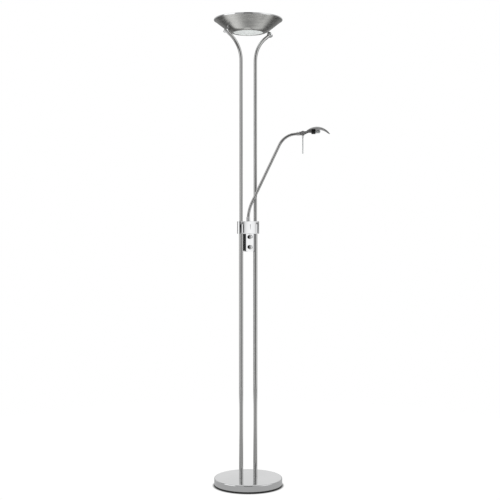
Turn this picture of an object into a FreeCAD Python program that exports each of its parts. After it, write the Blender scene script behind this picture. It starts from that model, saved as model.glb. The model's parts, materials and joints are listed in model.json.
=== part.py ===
import FreeCAD, Part
import os
import Sketcher
from FreeCAD import Placement, Rotation, Vector

# Floor lamp with an uplighter bowl on two poles and a reading arm at mid height.
# Origin: centre of the underside of the base, +Z up. The poles stand at -X and +X, and the
# dimmer knobs face -Y. All sizes are in millimetres and degrees.
SIZES = {
    # round base
    "base_radius": 132.0,
    "base_height": 32.0,
    "cover_wall": 1.2,
    "cover_shoulder": 5.5,
    "foot_height": 6.5,
    "foot_lip": 3.0,
    "foot_lip_wall": 3.6,
    "foot_bevel": 0.6,
    "pad_radius": 112.0,
    "pad_thickness": 2.0,
    "weight_radius": 118.0,
    "weight_height": 19.0,
    "weight_bevel": 2.0,
    "boss_slope": 4.0,
    "boss_radius": 52.0,
    "nut_recess_radius": 14.0,
    "nut_recess_depth": 10.0,
    "channel_width": 12.0,
    "channel_depth": 13.0,
    # cord inlet at the back of the base
    "gland_height": 18.0,
    "gland_bore_radius": 3.5,
    "gland_neck_radius": 5.6,
    "gland_flange_radius": 8.0,
    "gland_flange": 2.6,
    "gland_step": 0.6,
    "gland_lip": 1.2,
    # poles
    "pole_spacing": 64.0,
    "lower_radius": 8.0,
    "lower_wall": 1.4,
    "pole_slide": 0.1,
    "upper_wall": 1.1,
    "upper_overlap": 70.0,
    "plug_height": 26.0,
    "nipple_radius": 5.0,
    "nipple_wall": 1.4,
    "nipple_past": 1.0,
    "nipple_set": 2.0,
    "nut_flats": 17.0,
    "nut_height": 5.0,
    "washer_radius": 11.0,
    "washer_thickness": 2.0,
    "uplight_lead_radius": 2.6,
    "mains_lead_radius": 2.8,
    "lead_setback": 2.0,
    # flare of the pole tips, which run parallel to the wall of the bowl
    "bend_radius": 117.0,
    "bend_turn": 51.5,
    "tip_length": 27.0,
    "hub_wall": 1.85,
    "hub_length": 5.5,
    "flange_radius": 12.0,
    "flange_length": 6.6,
    "flange_bevel": 0.8,
    "wall_gap": 15.94,
    "stud_radius": 2.5,
    "stud_bore": 1.4,
    "stud_set": 2.0,
    "stud_past": 4.5,
    "stud_nut_flats": 8.0,
    "stud_nut_height": 3.2,
    "spacer_wall": 2.2,
    # uplighter bowl
    "lamp_height": 1800.0,
    "bowl_radius": 132.0,
    "band_height": 5.6,
    "band_wall": 2.4,
    "band_edge": 0.9,
    "rim_lip": 1.0,
    "bowl_wall": 1.2,
    "shoulder_radius": 80.0,
    "opening_radius": 57.0,
    "opening_lip": 5.5,
    "opening_drop": 7.5,
    "opening_turn": 60.0,
    "glass_wall": 3.0,
    "glass_sag": 8.5,
    "glass_seat": 4.5,
    "glass_gap": 1.0,
    "glass_step": 1.0,
    # uplighter lamp
    "bracket_width": 24.0,
    "bracket_sheet": 1.5,
    "bracket_reach": 16.0,
    "knee_out": 2.0,
    "reflector_width": 58.0,
    "reflector_length": 100.0,
    "reflector_rise": 9.0,
    "reflector_flat": 20.0,
    "reflector_sheet": 0.8,
    "tube_length": 117.6,
    "tube_radius": 5.5,
    "tube_rise": 21.0,
    "tube_neck_radius": 3.6,
    "tube_end_radius": 2.4,
    "tube_end_bevel": 1.2,
    "tube_neck_length": 9.0,
    "tube_taper": 4.0,
    "socket_width": 17.0,
    "socket_depth": 15.0,
    "socket_height": 28.0,
    "socket_grip": 4.0,
    "contact_radius": 4.2,
    "contact_depth": 5.0,
    "contact_slot_width": 6.0,
    "contact_slot_length": 7.0,
    "contact_slot_over": 2.0,
    "rivet_radius": 3.2,
    "rivet_height": 1.4,
    "rivet_offset": 4.0,
    # collar that ties the poles together
    "collar_bottom": 975.5,
    "collar_height": 48.3,
    "cap_height": 11.6,
    "collar_radius": 15.5,
    "collar_wall": 2.0,
    "collar_floor": 4.0,
    "sleeve_radius": 10.5,
    "collar_bevel": 1.2,
    "cap_edge": 1.6,
    "boss_gap": 2.3,
    "collar_boss_radius": 3.2,
    "collar_screw_radius": 1.3,
    "pilot_depth": 8.0,
    "pilot_gap": 1.0,
    "screw_seat": 2.0,
    "lead_hole_radius": 6.0,
    "grub_height": 20.0,
    "grub_radius": 2.0,
    "grub_gap": 0.1,
    "grub_recess": 0.3,
    # dimmer housing
    "housing_drop": 69.0,
    "housing_gap": 0.6,
    "housing_front": 13.0,
    "housing_curve": 40.0,
    "housing_wall": 1.6,
    "housing_arch": 62.0,
    "housing_seam": 2.0,
    "knob_high": 11.1,
    "knob_low": 51.7,
    "knob_radius": 7.8,
    "knob_length": 9.6,
    "knob_edge": 2.2,
    "knob_gap": 1.0,
    "knob_recess": 2.2,
    "knob_wall": 1.8,
    "knob_bevel": 0.3,
    "knob_bore": 6.6,
    "mark_width": 1.0,
    "mark_start": 2.4,
    "mark_depth": 0.6,
    "shaft_radius": 3.0,
    "shaft_set": 3.0,
    "bush_past": 3.0,
    "can_gap": 1.2,
    "control_nut_flats": 9.5,
    "control_nut_height": 2.0,
    "bush_radius": 3.6,
    "pot_radius": 8.0,
    "post_spread": 14.0,
    "post_radius": 3.0,
    "post_reach": 6.8,
    "post_foot": 4.4,
    "screw_radius": 1.5,
    "screw_head_radius": 2.8,
    "screw_head_height": 1.6,
    "housing_lead_radius": 4.0,
    "housing_lead_offset": 4.0,
    "board_width": 20.0,
    "board_height": 56.0,
    "board_thickness": 1.6,
    "board_offset": 1.0,
    "board_gap": 0.2,
    "part_offset": 0.2,
    "choke_radius": 2.6,
    "choke_length": 12.0,
    "choke_offset": 6.0,
    "choke_drop": 12.0,
    "block_offset": 5.0,
    "capacitor_width": 8.0,
    "capacitor_depth": 4.0,
    "capacitor_height": 10.0,
    "capacitor_rise": 8.0,
    "sink_width": 9.0,
    "sink_depth": 2.0,
    "sink_height": 18.0,
    "sink_drop": 16.0,
    # reading arm
    "arm_azimuth": -31.0,
    "arm_radius": 5.5,
    "arm_wall": 1.0,
    "arm_tail": 32.0,
    "arm_lead_radius": 2.2,
    "root_bend_height": 1030.0,
    "root_bend_radius": 160.0,
    "root_bend_turn": 25.5,
    "arm_straight": 242.0,
    "top_bend_radius": 75.0,
    "top_bend_turn": 58.8,
    "arm_end": 17.5,
    "ferrule_radius": 7.0,
    "ferrule_height": 17.0,
    "ferrule_foot": 0.8,
    "ferrule_foot_height": 3.0,
    "ferrule_step": 0.6,
    "ferrule_slope": 4.0,
    "ferrule_neck": 1.2,
    "ferrule_sleeve": 0.6,
    "arm_bush_wall": 2.0,
    "bush_lip": 1.6,
    "spring_width": 2.5,
    "spring_height": 1.2,
    "arm_nut_flats": 16.0,
    "arm_nut_height": 5.0,
    # knuckle and reader head
    "pivot_reach": 13.0,
    "eye_radius": 9.0,
    "fork_back": 4.0,
    "fork_waist": 0.72,
    "fork_gap": 0.8,
    "tongue_width": 7.0,
    "cheek_width": 4.0,
    "washer_sheet": 0.5,
    "pin_radius": 2.5,
    "pin_head_radius": 5.0,
    "pin_head_height": 2.4,
    "pin_past": 4.0,
    "tilt_nut_radius": 4.8,
    "tilt_nut_height": 3.4,
    "tilt_washer_radius": 6.0,
    "socket_length": 11.0,
    "head_curve": 60.0,
    "head_centre": 54.0,
    "head_rise": 25.0,
    "head_axis": 29.4,
    "head_wall": 1.5,
    "head_back": 15.0,
    "head_tip": 104.4,
    "head_half": 33.0,
    "neck_drop": 5.0,
    "neck_bend": 7.0,
    "neck_run": 22.0,
    "neck_low": 2.0,
    "neck_end": 33.0,
    "neck_high": 12.0,
    "neck_meet": 27.0,
    "neck_start": 5.0,
    "neck_lap": 1.0,
    "leaf_curve": 62.0,
    "leaf_nose": 30.0,
    "leaf_root": 9.0,
    "leaf_wide_past": 8.0,
    "leaf_nose_length": 10.0,
    "leaf_nose_half": 19.0,
    "arch_foot": 36.0,
    "rim_curve": 57.3,
    "rim_centre": 60.5,
    "rim_rise": 16.6,
    "reader_axis": 6.5,
    "reader_socket_radius": 10.0,
    "reader_socket_length": 15.0,
    "reader_lamp_radius": 6.5,
    "reader_lamp_length": 24.0,
    "reader_socket_gap": 0.2,
    "reader_socket_bevel": 1.0,
    "reader_lamp_seat": 5.0,
    "reader_lamp_gap": 0.2,
    "reader_lamp_dome": 5.0,
    "reader_dome_curve": 7.0,
    "rod_radius": 2.2,
    "rod_length": 62.0,
    "rod_ferrule_radius": 3.2,
    "rod_ferrule_length": 8.0,
    "rod_bore": 5.0,
    "rod_bevel": 0.6,
    "rod_stud_radius": 1.5,
    "rod_stud_length": 3.5,
    "rod_stud_root": 0.5,
    "rod_hole_depth": 5.0,
    # small flat where a domed outline meets its axis
    "flat_spot": 1.0,
    # how far a cutting tool runs past the piece
    "cut_over": 1.0,
    # clearances
    "fit": 0.05,
    "slide": 0.3,
}

doc = FreeCAD.newDocument("floor_lamp")
sheet = doc.addObject("Spreadsheet::Sheet", "Sizes")
for row, (alias, size) in enumerate(SIZES.items(), 1):
    sheet.set(f"A{row}", alias)
    sheet.set(f"B{row}", str(size))
    sheet.setAlias(f"B{row}", alias)
doc.recompute()

PARTS = []


def spell(text):
    """An expression in which each size's name points into the sheet."""
    words = []
    word = ""
    for letter in str(text) + " ":
        if letter.isalnum() or letter in "_.":
            word += letter
            continue
        words.append("Sizes." + word if word in SIZES else word)
        words.append(letter)
        word = ""
    return "".join(words).strip()


def value(text):
    """The number that an expression of named sizes comes to."""
    found = sheet.evalExpression(spell(text))
    return float(getattr(found, "Value", found))


def bind(thing, prop, text):
    thing.setExpression(prop, spell(text))


def place(thing, x="0", y="0", z="0", yaw="0", pitch="0"):
    """Puts a sub-part at its place, by expression."""
    spot = f"create(<<vector>>; {x}; {y}; {z})"
    turn = f"create(<<rotation>>; {yaw}; {pitch}; 0)"
    bind(thing, "Placement", f"create(<<placement>>; {spot}; {turn})")
    return thing


def keep(thing, label):
    thing.Label = label
    PARTS.append(thing)
    return thing


# ---- PartDesign helpers


def new_body(label):
    return keep(doc.addObject("PartDesign::Body", label), label)


def plane_of(body, role):
    return next(o for o in body.Origin.OriginFeatures if o.Role == role)


def new_sketch(body, role="XZ_Plane", offset="0"):
    sketch = body.newObject("Sketcher::SketchObject", body.Name + "_sketch")
    sketch.AttachmentSupport = (plane_of(body, role), [""])
    sketch.MapMode = "FlatFace"
    if offset != "0":
        bind(sketch, "AttachmentOffset.Base.z", offset)
    return sketch


def pin_point(sketch, edge, end, spot):
    """Holds one end of an edge at an x and a y given as expressions."""
    for kind, text in (("DistanceX", spot[0]), ("DistanceY", spot[1])):
        index = sketch.addConstraint(
            Sketcher.Constraint(kind, -1, 1, edge, end, value(text))
        )
        bind(sketch, f"Constraints[{index}]", text)


def arc_between(start, stop, radius):
    """An arc from start to stop that turns left for a positive radius, right for a negative."""
    chord = stop - start
    half = chord.Length / 2
    size = abs(radius)
    rise = size - (size * size - half * half) ** 0.5
    side = Vector(chord.y, -chord.x, 0).normalize() * (rise if radius > 0 else -rise)
    return Part.Arc(start, start + chord * 0.5 + side, stop)


def trace(sketch, outline, closed=True):
    """Draws a chain of lines and arcs. An outline holds (x, y) or (x, y, radius) in expressions,
    where the radius is that of the arc that leads on to the next point."""
    spots = [Vector(value(p[0]), value(p[1]), 0) for p in outline]
    count = len(outline)
    first = sketch.GeometryCount
    runs = count if closed else count - 1
    ends = []
    for i in range(runs):
        here = spots[i]
        there = spots[(i + 1) % count]
        if len(outline[i]) == 3:
            radius = value(outline[i][2])
            index = sketch.addGeometry(arc_between(here, there, radius), False)
            ends.append((1, 2) if radius > 0 else (2, 1))
        else:
            index = sketch.addGeometry(Part.LineSegment(here, there), False)
            ends.append((1, 2))
    for i in range(runs):
        pin_point(sketch, first + i, ends[i][0], outline[i])
        if i + 1 < runs:
            sketch.addConstraint(
                Sketcher.Constraint(
                    "Coincident", first + i, ends[i][1], first + i + 1, ends[i + 1][0]
                )
            )
        elif closed:
            sketch.addConstraint(
                Sketcher.Constraint("Coincident", first + i, ends[i][1], first, ends[0][0])
            )
        else:
            pin_point(sketch, first + i, ends[i][1], outline[i + 1])
        if len(outline[i]) == 3:
            radius = value(outline[i][2])
            spot = sketch.addConstraint(
                Sketcher.Constraint("Radius", first + i, abs(radius))
            )
            sign = "" if radius > 0 else "-"
            bind(sketch, f"Constraints[{spot}]", f"{sign}({outline[i][2]})")
    return sketch


def circle(sketch, x, y, radius):
    """Adds a circle whose centre and radius are expressions."""
    centre = Vector(value(x), value(y), 0)
    index = sketch.addGeometry(Part.Circle(centre, Vector(0, 0, 1), value(radius)), False)
    pin_point(sketch, index, 3, (x, y))
    spot = sketch.addConstraint(Sketcher.Constraint("Radius", index, value(radius)))
    bind(sketch, f"Constraints[{spot}]", radius)
    return sketch


def feature(body, kind, sketch, **extras):
    made = body.newObject("PartDesign::" + kind, body.Name + "_" + kind.lower())
    made.Profile = (sketch, [""])
    for name, setting in extras.items():
        setattr(made, name, setting)
    sketch.Visibility = False
    body.Tip = made
    return made


def spin(body, outline, role="XZ_Plane", axis="V_Axis", kind="Revolution"):
    """A turned piece: an outline spun round an axis of its sketch."""
    sketch = trace(new_sketch(body, role), outline)
    made = feature(body, kind, sketch, ReferenceAxis=(sketch, [axis]), Angle=360.0)
    doc.recompute()
    return made


def extrude(body, kind, sketch, length, both_ways=False, back=False):
    made = feature(body, kind, sketch)
    bind(made, "Length", length)
    if both_ways:
        made.SideType = "Symmetric"
    made.Reversed = back
    doc.recompute()
    return made


def cut_through(body, sketch):
    """Removes a sketch's area all the way through, on both sides of its plane."""
    before = body.Shape.Volume
    made = feature(body, "Pocket", sketch, Type="ThroughAll", SideType="Symmetric")
    doc.recompute()
    if not body.Shape.Volume < before - 0.001:
        raise ValueError("nothing was cut from " + body.Label)
    return made


def dig(body, sketch, length, back=False):
    """Removes a sketch's area to a depth, on the side that holds the solid."""
    before = body.Shape.Volume
    made = extrude(body, "Pocket", sketch, length, back=back)
    if not made.Shape.Volume < before - 0.001:
        raise ValueError("nothing was dug from " + body.Label)
    return made


def round_edges(body, radius, chosen, kind="Fillet"):
    """Rounds the edges of the tip that chosen(edge) picks."""
    tip = body.Tip
    names = [f"Edge{i}" for i, e in enumerate(tip.Shape.Edges, 1) if chosen(e)]
    if not names:
        raise ValueError("no edge to round on " + body.Label)
    made = body.newObject("PartDesign::" + kind, body.Name + "_" + kind.lower())
    made.Base = (tip, names)
    bind(made, "Radius" if kind == "Fillet" else "Size", radius)
    body.Tip = made
    doc.recompute()
    return made


# ---- Part helpers for plain pieces


def bar(radius, length, x="0", y="0", z="0", yaw="0", pitch="0"):
    """A plain cylinder on its own axis, which pitch and yaw lay over."""
    made = doc.addObject("Part::Cylinder", "bar")
    bind(made, "Radius", radius)
    bind(made, "Height", length)
    return place(made, x, y, z, yaw, pitch)


def block(long, wide, high, x="0", y="0", z="0"):
    """A box centred on x and y that stands on z."""
    made = doc.addObject("Part::Box", "block")
    bind(made, "Length", long)
    bind(made, "Width", wide)
    bind(made, "Height", high)
    return place(made, f"({x}) - ({long}) / 2", f"({y}) - ({wide}) / 2", z)


def prism(flats, length, x="0", y="0", z="0", yaw="0", pitch="0"):
    """A hexagonal bar of a given width across its flats."""
    made = doc.addObject("Part::Prism", "prism")
    made.Polygon = 6
    bind(made, "Circumradius", f"({flats}) / 2 / cos(30 deg)")
    bind(made, "Height", length)
    return place(made, x, y, z, yaw, pitch)


def cut(base, *tools):
    for tool in tools:
        made = doc.addObject("Part::Cut", "cut")
        made.Base = base
        made.Tool = tool
        base = made
    return base


def fuse(*pieces):
    made = doc.addObject("Part::MultiFuse", "fuse")
    made.Shapes = list(pieces)
    made.Refine = True
    return made


def group(*pieces):
    """Separate solids that share a node."""
    made = doc.addObject("Part::Compound", "group")
    made.Links = list(pieces)
    return made


def ring(outer, inner, length, x="0", y="0", z="0", yaw="0", pitch="0"):
    spot = dict(x=x, y=y, z=z, yaw=yaw, pitch=pitch)
    return cut(bar(outer, length, **spot), bar(inner, length, **spot))


SIDES = (("left", -1), ("right", 1))
HALF = "pole_spacing / 2"
# the upper poles slide inside the lower ones
UPPER = "(lower_radius - lower_wall - pole_slide)"


# ---- base


def base_cover():
    """Pressed round cover with a rolled shoulder."""
    top = "base_height"
    body = new_body("base_cover")
    inside = "base_radius - cover_wall"
    bend = "cover_shoulder"
    spin(
        body,
        [
            (inside, "foot_height"),
            ("base_radius", "foot_height"),
            ("base_radius", f"{top} - {bend}", bend),
            (f"base_radius - {bend}", top),
            ("0", top),
            ("0", f"{top} - cover_wall"),
            (f"base_radius - {bend}", f"{top} - cover_wall", f"-({bend} - cover_wall)"),
            (inside, f"{top} - {bend}"),
        ],
    )
    holes = new_sketch(body, "XY_Plane")
    for _, side in SIDES:
        circle(holes, f"{side} * {HALF}", "0", "nipple_radius + slide")
    cut_through(body, holes)
    inlet = new_sketch(body, "XZ_Plane")
    circle(inlet, "0", "gland_height", "gland_neck_radius + fit")
    dig(body, inlet, "base_radius + cut_over")


def base_weight():
    """Cast disc with a raised centre, two bores, nut recesses and a channel for the lead."""
    low = "pad_thickness"
    top = f"{low} + weight_height"
    body = new_body("base_weight")
    spin(
        body,
        [
            ("0", low),
            ("weight_radius", low),
            ("weight_radius", f"{top} - weight_bevel"),
            ("weight_radius - weight_bevel", top),
            ("boss_radius + boss_slope", top),
            ("boss_radius", "base_height - cover_wall"),
            ("0", "base_height - cover_wall"),
        ],
    )
    bores = new_sketch(body, "XY_Plane")
    for _, side in SIDES:
        circle(bores, f"{side} * {HALF}", "0", "nipple_radius + slide")
    cut_through(body, bores)
    recess = new_sketch(body, "XY_Plane", low)
    for _, side in SIDES:
        circle(recess, f"{side} * {HALF}", "0", "nut_recess_radius")
    dig(body, recess, "nut_recess_depth", back=True)
    channel = new_sketch(body, "XY_Plane", low)
    half = "channel_width / 2"
    trace(
        channel,
        [
            (f"-{HALF}", f"-{half}"),
            (HALF, f"-{half}"),
            (HALF, half),
            (half, half),
            (half, "weight_radius + cut_over"),
            (f"-{half}", "weight_radius + cut_over"),
            (f"-{half}", half),
            (f"-{HALF}", half),
        ],
    )
    dig(body, channel, "channel_depth", back=True)


def foot_ring():
    """Moulded ring that the base stands on, with a lip inside the cover."""
    lip = "base_radius - cover_wall - fit"
    lip_in = f"{lip} - foot_lip_wall"
    top = "foot_height + foot_lip"
    body = new_body("foot_ring")
    spin(
        body,
        [
            ("pad_radius + slide", "0"),
            ("base_radius - foot_bevel", "0"),
            ("base_radius", "foot_bevel"),
            ("base_radius", "foot_height"),
            (lip, "foot_height"),
            (lip, top),
            (lip_in, top),
            (lip_in, "pad_thickness"),
            ("pad_radius + slide", "pad_thickness"),
        ],
    )


def base_pad():
    body = new_body("base_pad")
    spin(
        body,
        [
            ("0", "0"),
            ("pad_radius", "0"),
            ("pad_radius", "pad_thickness"),
            ("0", "pad_thickness"),
        ],
    )


def cord_gland():
    """Rubber grommet in the back wall of the base, with a waist that the wall sits in."""
    face = "base_radius"
    back = "base_radius - cover_wall - slide"
    body = new_body("cord_gland")
    spin(
        body,
        [
            ("gland_bore_radius", f"{back} - gland_flange"),
            ("gland_flange_radius - gland_step", f"{back} - gland_flange"),
            ("gland_flange_radius - gland_step", back),
            ("gland_neck_radius", back),
            ("gland_neck_radius", face),
            ("gland_flange_radius", face),
            ("gland_flange_radius", f"{face} + gland_flange / 2"),
            ("gland_bore_radius + gland_lip", f"{face} + gland_flange"),
            ("gland_bore_radius", f"{face} + gland_flange"),
        ],
        role="XY_Plane",
    )
    place(body, z="gland_height")


# ---- poles

NUT_TOP = "(pad_thickness + nut_recess_depth - washer_thickness)"


def pole_feet():
    """The plugs, nipples, washers and nuts that clamp the poles to the base."""
    plugs = []
    nipples = []
    washers = []
    nuts = []
    end = "nipple_radius - nipple_wall"
    low = f"{NUT_TOP} - nut_height - nipple_past"
    for _, side in SIDES:
        x = f"{side} * {HALF}"
        plugs.append(
            ring(
                "lower_radius - lower_wall - fit",
                "nipple_radius + fit",
                "plug_height",
                x=x,
                z="base_height + fit",
            )
        )
        nipples.append(
            ring(
                "nipple_radius",
                end,
                f"base_height + plug_height - nipple_set - ({low})",
                x=x,
                z=low,
            )
        )
        washers.append(
            ring("washer_radius", "nipple_radius + slide", "washer_thickness", x=x, z=NUT_TOP)
        )
        low_nut = f"{NUT_TOP} - nut_height"
        nuts.append(
            cut(
                prism("nut_flats", "nut_height", x=x, z=low_nut),
                bar("nipple_radius + fit", "nut_height", x=x, z=low_nut),
            )
        )
    keep(group(*plugs), "pole_foot_plugs")
    keep(group(*nipples), "pole_foot_nipples")
    keep(group(*washers), "pole_foot_washers")
    keep(group(*nuts), "pole_foot_nuts")


LOWER_TOP = "(collar_bottom + collar_height - cap_height - slide)"


def lower_poles():
    for name, side in SIDES:
        body = new_body("lower_pole_" + name)
        sketch = new_sketch(body, "XY_Plane", "base_height")
        x = f"{side} * {HALF}"
        circle(sketch, x, "0", "lower_radius")
        circle(sketch, x, "0", "lower_radius - lower_wall")
        extrude(body, "Pad", sketch, f"{LOWER_TOP} - base_height")


UPPER_LOW = f"({LOWER_TOP} - upper_overlap)"
TURN = "bend_turn * 1 deg"
# unit vector along the pole's tip, in the plane of the poles
TIP_X = f"sin({TURN})"
TIP_Z = f"cos({TURN})"
WALL_SLOPE = "tan(90 deg - bend_turn * 1 deg)"
BAND_Z = "(lamp_height - band_height)"
WALL_TOP = "(bowl_radius - band_wall - fit)"
SHOULDER_Z = f"({BAND_Z} - ({WALL_TOP} - shoulder_radius) * {WALL_SLOPE})"
BEND_X = f"({HALF} + bend_radius * (1 - cos({TURN})))"
# the bend starts where it brings the flange's centre to its distance from the bowl's wall
FLANGE_AT = "(tip_length + flange_length / 2)"
CENTRE_X = f"({BEND_X} + {FLANGE_AT} * {TIP_X})"
CENTRE_Z = (
    f"({SHOULDER_Z} + ({CENTRE_X} - shoulder_radius) * {WALL_SLOPE} - wall_gap / {TIP_X})"
)
BEND_LOW = f"({CENTRE_Z} - {FLANGE_AT} * {TIP_Z} - bend_radius * sin({TURN}))"
BEND_Z = f"({BEND_LOW} + bend_radius * sin({TURN}))"


def along_tip(distance, off="0"):
    """A point at a distance along the tip of the right pole and off towards the bowl."""
    x = f"({BEND_X} + ({distance}) * {TIP_X} - ({off}) * {TIP_Z})"
    z = f"({BEND_Z} + ({distance}) * {TIP_Z} + ({off}) * {TIP_X})"
    return x, z


def sweep(label, start, points, radius, bore=None):
    """A round tube or rod along a flat path, whose first run is upright."""
    body = new_body(label)
    path = trace(new_sketch(body), points, closed=False)
    section = new_sketch(body, "XY_Plane", start[1])
    circle(section, start[0], "0", radius)
    if bore:
        circle(section, start[0], "0", bore)
    pipe = feature(body, "AdditivePipe", section)
    pipe.Spine = (path, [f"Edge{i + 1}" for i in range(len(points) - 1)])
    path.Visibility = False
    doc.recompute()
    lengths = sum(e.Length for e in path.Shape.Edges)
    area = 3.141592653589793 * (value(radius) ** 2 - (value(bore) ** 2 if bore else 0))
    if abs(body.Shape.Volume / (area * lengths) - 1) > 0.005:
        raise ValueError("the sweep of " + label + " has the wrong volume")
    return body


def pole_path(end):
    return [
        (HALF, UPPER_LOW),
        (HALF, BEND_LOW, "-bend_radius"),
        (BEND_X, BEND_Z),
        along_tip(end),
    ]


def upper_poles():
    """Tubes that slide into the lower poles and flare out under the bowl."""
    for name, side in SIDES:
        yaw = "0" if side > 0 else "180"
        body = sweep(
            "upper_pole_" + name,
            (HALF, UPPER_LOW),
            pole_path("tip_length"),
            UPPER,
            f"{UPPER} - upper_wall",
        )
        place(body, yaw=yaw)


def pole_lead():
    """Lead to the uplighter inside the left upper pole."""
    body = sweep(
        "uplight_lead",
        (HALF, UPPER_LOW),
        pole_path("tip_length - lead_setback"),
        "uplight_lead_radius",
    )
    place(body, yaw="180")


def mains_lead():
    """Lead inside the left lower pole, from the base to the dimmer."""
    low = f"{NUT_TOP} - nut_height"
    length = f"{UPPER_LOW} - lead_setback - ({low})"
    keep(bar("mains_lead_radius", length, x=f"-{HALF}", z=low), "mains_lead")


def tip_ferrules():
    """Turned ends of the poles: a hub over the tube, and a wide flange whose rim carries the
    bowl through a hollow stud."""
    half = "flange_length / 2"
    for name, side in SIDES:
        body = new_body("tip_ferrule_" + name)
        bevel = "flange_bevel"
        tube = f"{UPPER} + fit"
        hub = f"{UPPER} + fit + hub_wall"
        spin(
            body,
            [
                (tube, f"-{half} - hub_length"),
                (hub, f"-{half} - hub_length"),
                (hub, f"-{half}"),
                (f"flange_radius - {bevel}", f"-{half}"),
                ("flange_radius", f"-{half} + {bevel}"),
                ("flange_radius", f"{half} - {bevel}"),
                (f"flange_radius - {bevel}", half),
                ("0", half),
                ("0", f"-{half} + fit"),
                (tube, f"-{half} + fit"),
            ],
        )
        hole = new_sketch(body, "YZ_Plane")
        circle(hole, "0", "0", "stud_radius + fit")
        dig(body, hole, "flange_radius + cut_over", back=side < 0)
        lean = f"{side} * bend_turn"
        place(body, x=f"{side} * {CENTRE_X}", z=CENTRE_Z, pitch=lean)


# ---- uplighter bowl

# the wall's thickness, measured straight up and straight across
WALL_UP = f"(bowl_wall / sin({TURN}))"
OPENING_Z = f"({SHOULDER_Z} - opening_drop)"


def bowl_shell():
    """Spun shell: a cone with a lip under the rim band and a rounded turn to the opening."""
    body = new_body("bowl_shell")
    lip_in = f"{WALL_TOP} - bowl_wall"
    spin(
        body,
        [
            ("opening_radius", OPENING_Z),
            ("opening_radius + opening_lip", OPENING_Z, "opening_turn"),
            ("shoulder_radius", SHOULDER_Z),
            (WALL_TOP, BAND_Z),
            (WALL_TOP, "lamp_height - rim_lip"),
            (lip_in, "lamp_height - rim_lip"),
            (lip_in, f"{BAND_Z} + {WALL_UP} - bowl_wall * {WALL_SLOPE}"),
            ("shoulder_radius", f"{SHOULDER_Z} + {WALL_UP}", "-opening_turn"),
            ("opening_radius + opening_lip", f"{OPENING_Z} + bowl_wall"),
            ("opening_radius", f"{OPENING_Z} + bowl_wall"),
        ],
    )
    for side in (1, -1):
        axis = new_sketch(body, "XY_Plane")
        circle(axis, "0", "0", "stud_radius + slide")
        turn = f"create(<<rotation>>; 0; {side} * (bend_turn - 90); 0)"
        spot = f"create(<<vector>>; {side} * {CENTRE_X}; 0; {CENTRE_Z})"
        bind(axis, "AttachmentOffset", f"create(<<placement>>; {spot}; {turn})")
        doc.recompute()
        dig(body, axis, f"wall_gap + flange_length", back=True)


def bowl_band():
    """Polished ring round the rim."""
    body = new_body("bowl_rim_band")
    inner = "bowl_radius - band_wall"
    edge = "band_edge"
    spin(
        body,
        [
            (inner, BAND_Z),
            (f"bowl_radius - {edge}", BAND_Z, edge),
            ("bowl_radius", f"{BAND_Z} + {edge}"),
            ("bowl_radius", f"lamp_height - {edge}", edge),
            (f"bowl_radius - {edge}", "lamp_height"),
            (f"{inner} - bowl_wall", "lamp_height"),
            (f"{inner} - bowl_wall", f"lamp_height - {edge}"),
            (inner, f"lamp_height - {edge}"),
        ],
    )


GLASS_TOP = f"({OPENING_Z} + bowl_wall + slide + glass_wall)"


def bowl_glass():
    """Frosted dish that sits in the bottom opening on its own flange."""
    body = new_body("bowl_glass")
    seat = f"({OPENING_Z} + bowl_wall + slide)"
    neck = "(opening_radius - glass_gap)"
    dish = f"(({neck} ^ 2 + glass_sag ^ 2) / 2 / glass_sag)"
    low = f"({seat} - glass_sag)"
    spin(
        body,
        [
            ("0", low),
            ("flat_spot", low, dish),
            (neck, seat),
            (f"{neck} + glass_seat", seat),
            (f"{neck} + glass_seat", f"{seat} + glass_wall"),
            (f"{neck} - glass_step", f"{seat} + glass_wall", f"-({dish} - glass_wall)"),
            ("flat_spot", f"{low} + glass_wall"),
            ("0", f"{low} + glass_wall"),
        ],
    )


WALL_FOOT = f"({SHOULDER_Z} + {WALL_UP})"
KNEE = "(shoulder_radius + knee_out)"
KNEE_REACH = f"sqrt({KNEE} ^ 2 + (bracket_width / 2) ^ 2)"
FLAT_TOP = (
    f"({WALL_FOOT} + fit * 2 + bracket_sheet"
    f" + ({KNEE_REACH} - shoulder_radius) * {WALL_SLOPE})"
)
# how far the flat strip stands off the cone, because only its edges touch
BRACKET_LIFT = f"(({KNEE_REACH} - {KNEE}) * {WALL_SLOPE} * sin({TURN}) + fit * 2)"
LAMP_Z = f"({FLAT_TOP} + tube_rise)"


def bowl_fixings():
    """Spacers, hollow studs and nuts between the pole tips and the bowl."""
    spacers = []
    studs = []
    nuts = []
    inside = f"wall_gap + bowl_wall + {BRACKET_LIFT} + bracket_sheet + fit * 2"
    for _, side in SIDES:
        lean = f"{side} * (bend_turn - 90)"

        def spot(distance):
            x = f"{side} * ({CENTRE_X} - ({distance}) * {TIP_Z})"
            z = f"{CENTRE_Z} + ({distance}) * {TIP_X}"
            return dict(x=x, z=z, pitch=lean)

        spacers.append(
            ring(
                "stud_radius + spacer_wall",
                "stud_radius + fit",
                f"wall_gap - flange_radius - fit * 2",
                **spot("flange_radius + fit"),
            )
        )
        studs.append(
            ring("stud_radius", "stud_bore", f"{inside} + stud_past - stud_set", **spot("stud_set"))
        )
        nuts.append(
            cut(
                prism("stud_nut_flats", "stud_nut_height", **spot(inside)),
                bar("stud_radius + fit", "stud_nut_height", **spot(inside)),
            )
        )
    keep(group(*spacers), "bowl_spacers")
    keep(group(*studs), "bowl_studs")
    keep(group(*nuts), "bowl_nuts")


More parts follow.
